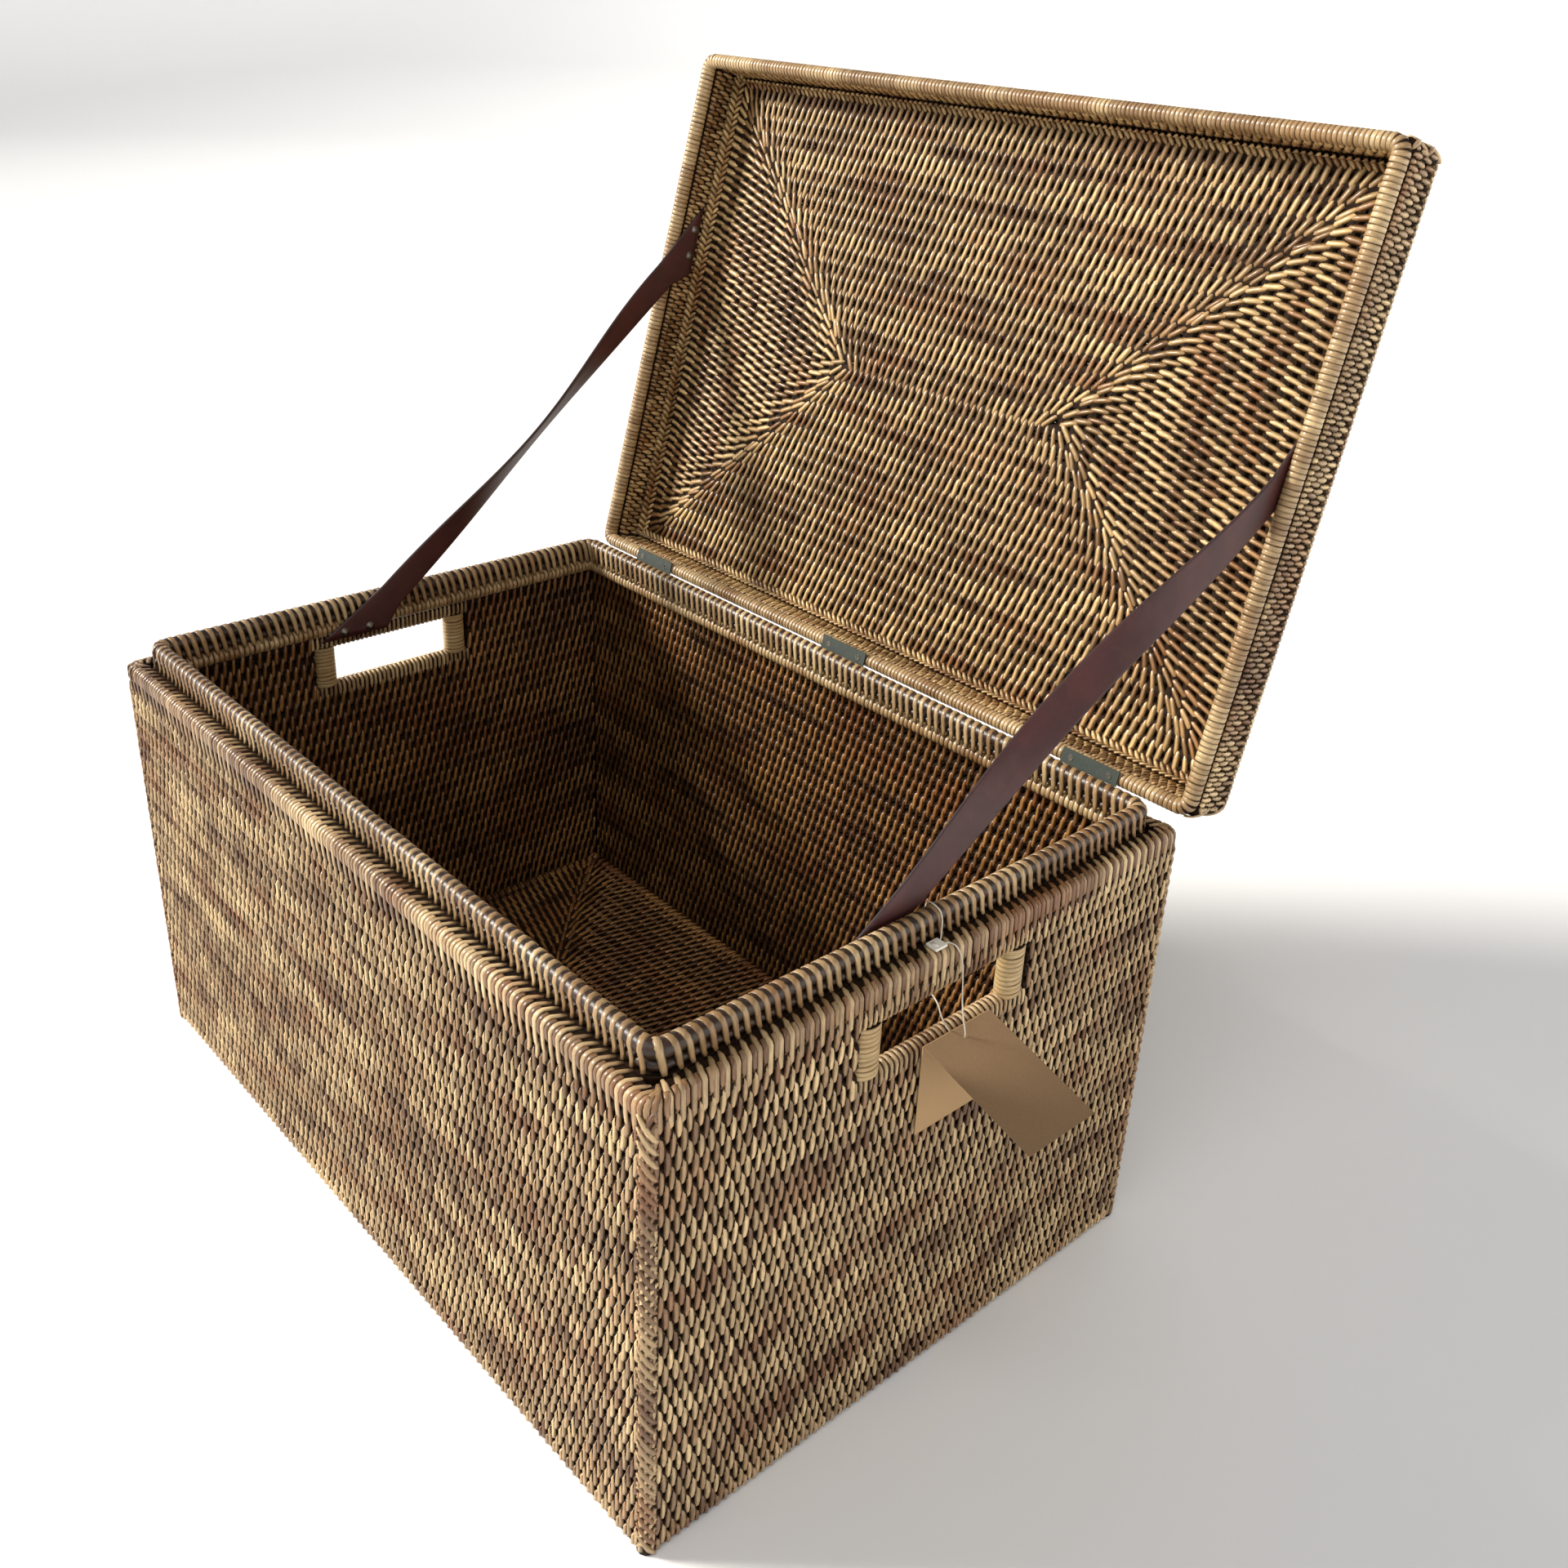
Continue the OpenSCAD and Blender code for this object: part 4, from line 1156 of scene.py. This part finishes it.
hinge_paint = painted_metal()
screw_steel = bare_metal("screw_steel", srgb(225, 222, 214), srgb(160, 156, 148), 0.18)
rivet_steel = bare_metal("rivet_steel", srgb(150, 146, 140), srgb(84, 80, 76), 0.3)


def finish_nodes(names, material):
    """Gives kept CAD pieces their finish."""
    for name in names:
        node = frame["nodes"][name]
        node.data.materials.clear()
        node.data.materials.append(material)


hinge_nodes = [f"hinge_{part}_{k}" for part in ("leaf_body", "leaf_lid", "pin")
               for k in (1, 2, 3)]
finish_nodes(hinge_nodes, hinge_paint)
finish_nodes(["hinge_screws_body", "hinge_screws_lid"], screw_steel)


# ---- Straps ----
# Two burgundy leather straps stop the lid. Each end is cut aslant and riveted flat, and
# the free length bows and twists a little.

STRAP_W = 27 * MM
STRAP_T = 2.5 * MM
STRAP_CUT = 68 * MM
STRAP_RUN = (74 * MM, 31 * MM)
STRAP_SLOPES = (40, 35)
STRAP_BOW = 10 * MM
STRAP_TWIST = 45


def leather_material():
    material, tree = new_material("strap_leather")
    place = object_place(tree)
    pores = tree.noise(place, 1400, 3, 0.6)
    cloud = tree.noise(place, 28, 3, 0.55)
    wear = tree.limit(tree.noise(place, 75, 4, 0.6), 0.56, 0.8)
    across, _, edge = tree.parts(
        tree.node("ShaderNodeAttribute", {"attribute_name": "strand"}, {}, "Vector"))
    colour = tree.mix(tree.limit(cloud, 0.3, 0.7), srgb(56, 25, 24), srgb(78, 36, 34))
    colour = tree.mix(wear * 0.25, colour, srgb(100, 58, 52))
    colour = tree.mix(tree.limit(abs(across), 0.9, 1.0) * 0.8, colour, srgb(34, 18, 18))
    finish_material(tree, colour, pores * 0.2 + 0.42, pores, 0.25, 0.0003,
                    Coat_Weight=0.08, Coat_Roughness=0.4)
    return material


strap_leather = leather_material()


def strap_rings(side):
    """Pairs of edge points and the strap's face way, from the body's cut to the lid's."""
    points = [vertex.co for vertex in frame["nodes"][f"strap_{side}"].data.vertices]
    closed_points = [close_lid @ point for point in points]
    cut_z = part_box(f"strap_{side}")[0].z
    at_cut = [point for point in points if point.z < cut_z + 0.5 * MM]
    body_tip = min(point.y for point in at_cut)
    body_x = max(abs(point.x) for point in at_cut)
    lid_x = max(abs(point.x) for point in points)
    on_lid = [point for point in closed_points if abs(point.x) > lid_x - 0.1 * MM]
    lid_tip = min(point.y for point in on_lid)
    lid_cut = max(point.z for point in on_lid)
    tip, end_tip = Vector((0, body_tip, cut_z)), Vector((0, lid_tip, lid_cut))
    run, back_run = Vector((0, *STRAP_RUN)), Vector((0, STRAP_RUN[0], -STRAP_RUN[1]))
    start, end = tip + run, open_lid @ (end_tip + back_run)
    x0, x1 = body_x - STRAP_T / 2, lid_x - STRAP_T / 2

    def middle(s):
        eased = s * s * (3 - 2 * s)
        swell = math.sin(math.pi * s) ** 2
        place = start.lerp(end, s)
        place.x = x0 + (x1 - x0) * eased - STRAP_BOW * swell
        return place

    def ring(s):
        along = (middle(s + 0.001) - middle(s - 0.001)).normalized()
        slope = math.radians(STRAP_SLOPES[0] + s * (STRAP_SLOPES[1] - STRAP_SLOPES[0]))
        twist = math.radians(STRAP_TWIST) * math.sin(math.pi * s) ** 2
        flat = Vector((-math.sin(twist), -math.sin(slope) * math.cos(twist),
                       math.cos(slope) * math.cos(twist)))
        across = (flat - flat.dot(along) * along).normalized() * STRAP_W / 2
        return middle(s) + across, middle(s) - across, along.cross(across).normalized()

    def tab(share, at_tip, step, x, turned):
        across = STRAP_W / 2 * Vector((0, -math.sin(math.radians(STRAP_SLOPES[0])),
                                       math.cos(math.radians(STRAP_SLOPES[0]))))
        if turned:
            across.z = -across.z
        heel = at_tip + Vector((0, STRAP_CUT, 0))
        first = at_tip.lerp(at_tip + step + across, share)
        second = heel.lerp(at_tip + step - across, share)
        first.x = second.x = x
        return first, second

    rings = []
    face_x = Vector((1, 0, 0))
    tab_steps, steps = 6, 44
    for i in range(tab_steps):
        first, second = tab(i / tab_steps, tip, run, x0, False)
        rings.append((first, second, face_x))
    rings += [ring(i / steps) for i in range(steps + 1)]
    for i in range(tab_steps):
        first, second = tab(1 - (i + 1) / tab_steps, end_tip, back_run, x1, True)
        rings.append((open_lid @ first, open_lid @ second, face_x))
    return rings, start, end


def strap_mesh(rings, mirror):
    """A strip of leather with rounded edges, closed at both cuts."""
    profile = [(-1.0, -0.15), (-0.975, -0.42), (-0.9, -0.5), (-0.3, -0.5), (0.3, -0.5),
               (0.9, -0.5), (0.975, -0.42), (1.0, -0.15), (1.0, 0.15), (0.975, 0.42),
               (0.9, 0.5), (0.3, 0.5), (-0.3, 0.5), (-0.9, 0.5), (-0.975, 0.42), (-1.0, 0.15)]
    verts, marks, run, last_middle = [], [], 0, None
    for first, second, face in rings:
        centre, half = (first + second) / 2, (first - second) / 2
        if face.x < 0:
            face = -face
        run += (centre - last_middle).length if last_middle else 0
        last_middle = centre
        for across, rise in profile:
            point = centre + half * across + face * rise * STRAP_T
            verts.append(Vector((-point.x if mirror else point.x, point.y, point.z)))
            marks.append((across, run, rise))
    mesh = solid("strap", verts, ring_faces(len(rings), len(profile), False),
                 lambda face: len(face.verts) == 4)
    mark_strand(mesh, marks)
    mesh.materials.append(strap_leather)
    return mesh


for side in ("left", "right"):
    rings, start, end = strap_rings(side)
    stay = linked(f"stay_strap_{side}", strap_mesh(rings, side == "left"))
    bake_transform(stay)
    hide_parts(f"strap_{side}")

finish_nodes(["strap_rivets_body", "strap_rivets_lid"], rivet_steel)


# ---- Hang tag ----
# A card of brown kraft board folded over at its top, plain on both leaves. The string
# goes through a hole near the fold.

def kraft(name, light, dark):
    material, tree = new_material(name)
    place = object_place(tree)
    fibre = tree.noise(place, 700, 4, 0.65)
    fleck = tree.limit(tree.noise(place, 2600, 2), 0.62, 0.7)
    colour = tree.mix(fibre, dark, light)
    colour = tree.mix(fleck * 0.35, colour, darker(dark, 0.5))
    finish_material(tree, colour, fibre * 0.1 + 0.8, fibre, 0.2, 0.0001)
    return material


finish_nodes(["tag_front_leaf"], kraft("kraft_front", srgb(146, 116, 82), srgb(122, 95, 66)))
finish_nodes(["tag_back_leaf"], kraft("kraft_back", srgb(182, 150, 108), srgb(158, 126, 88)))
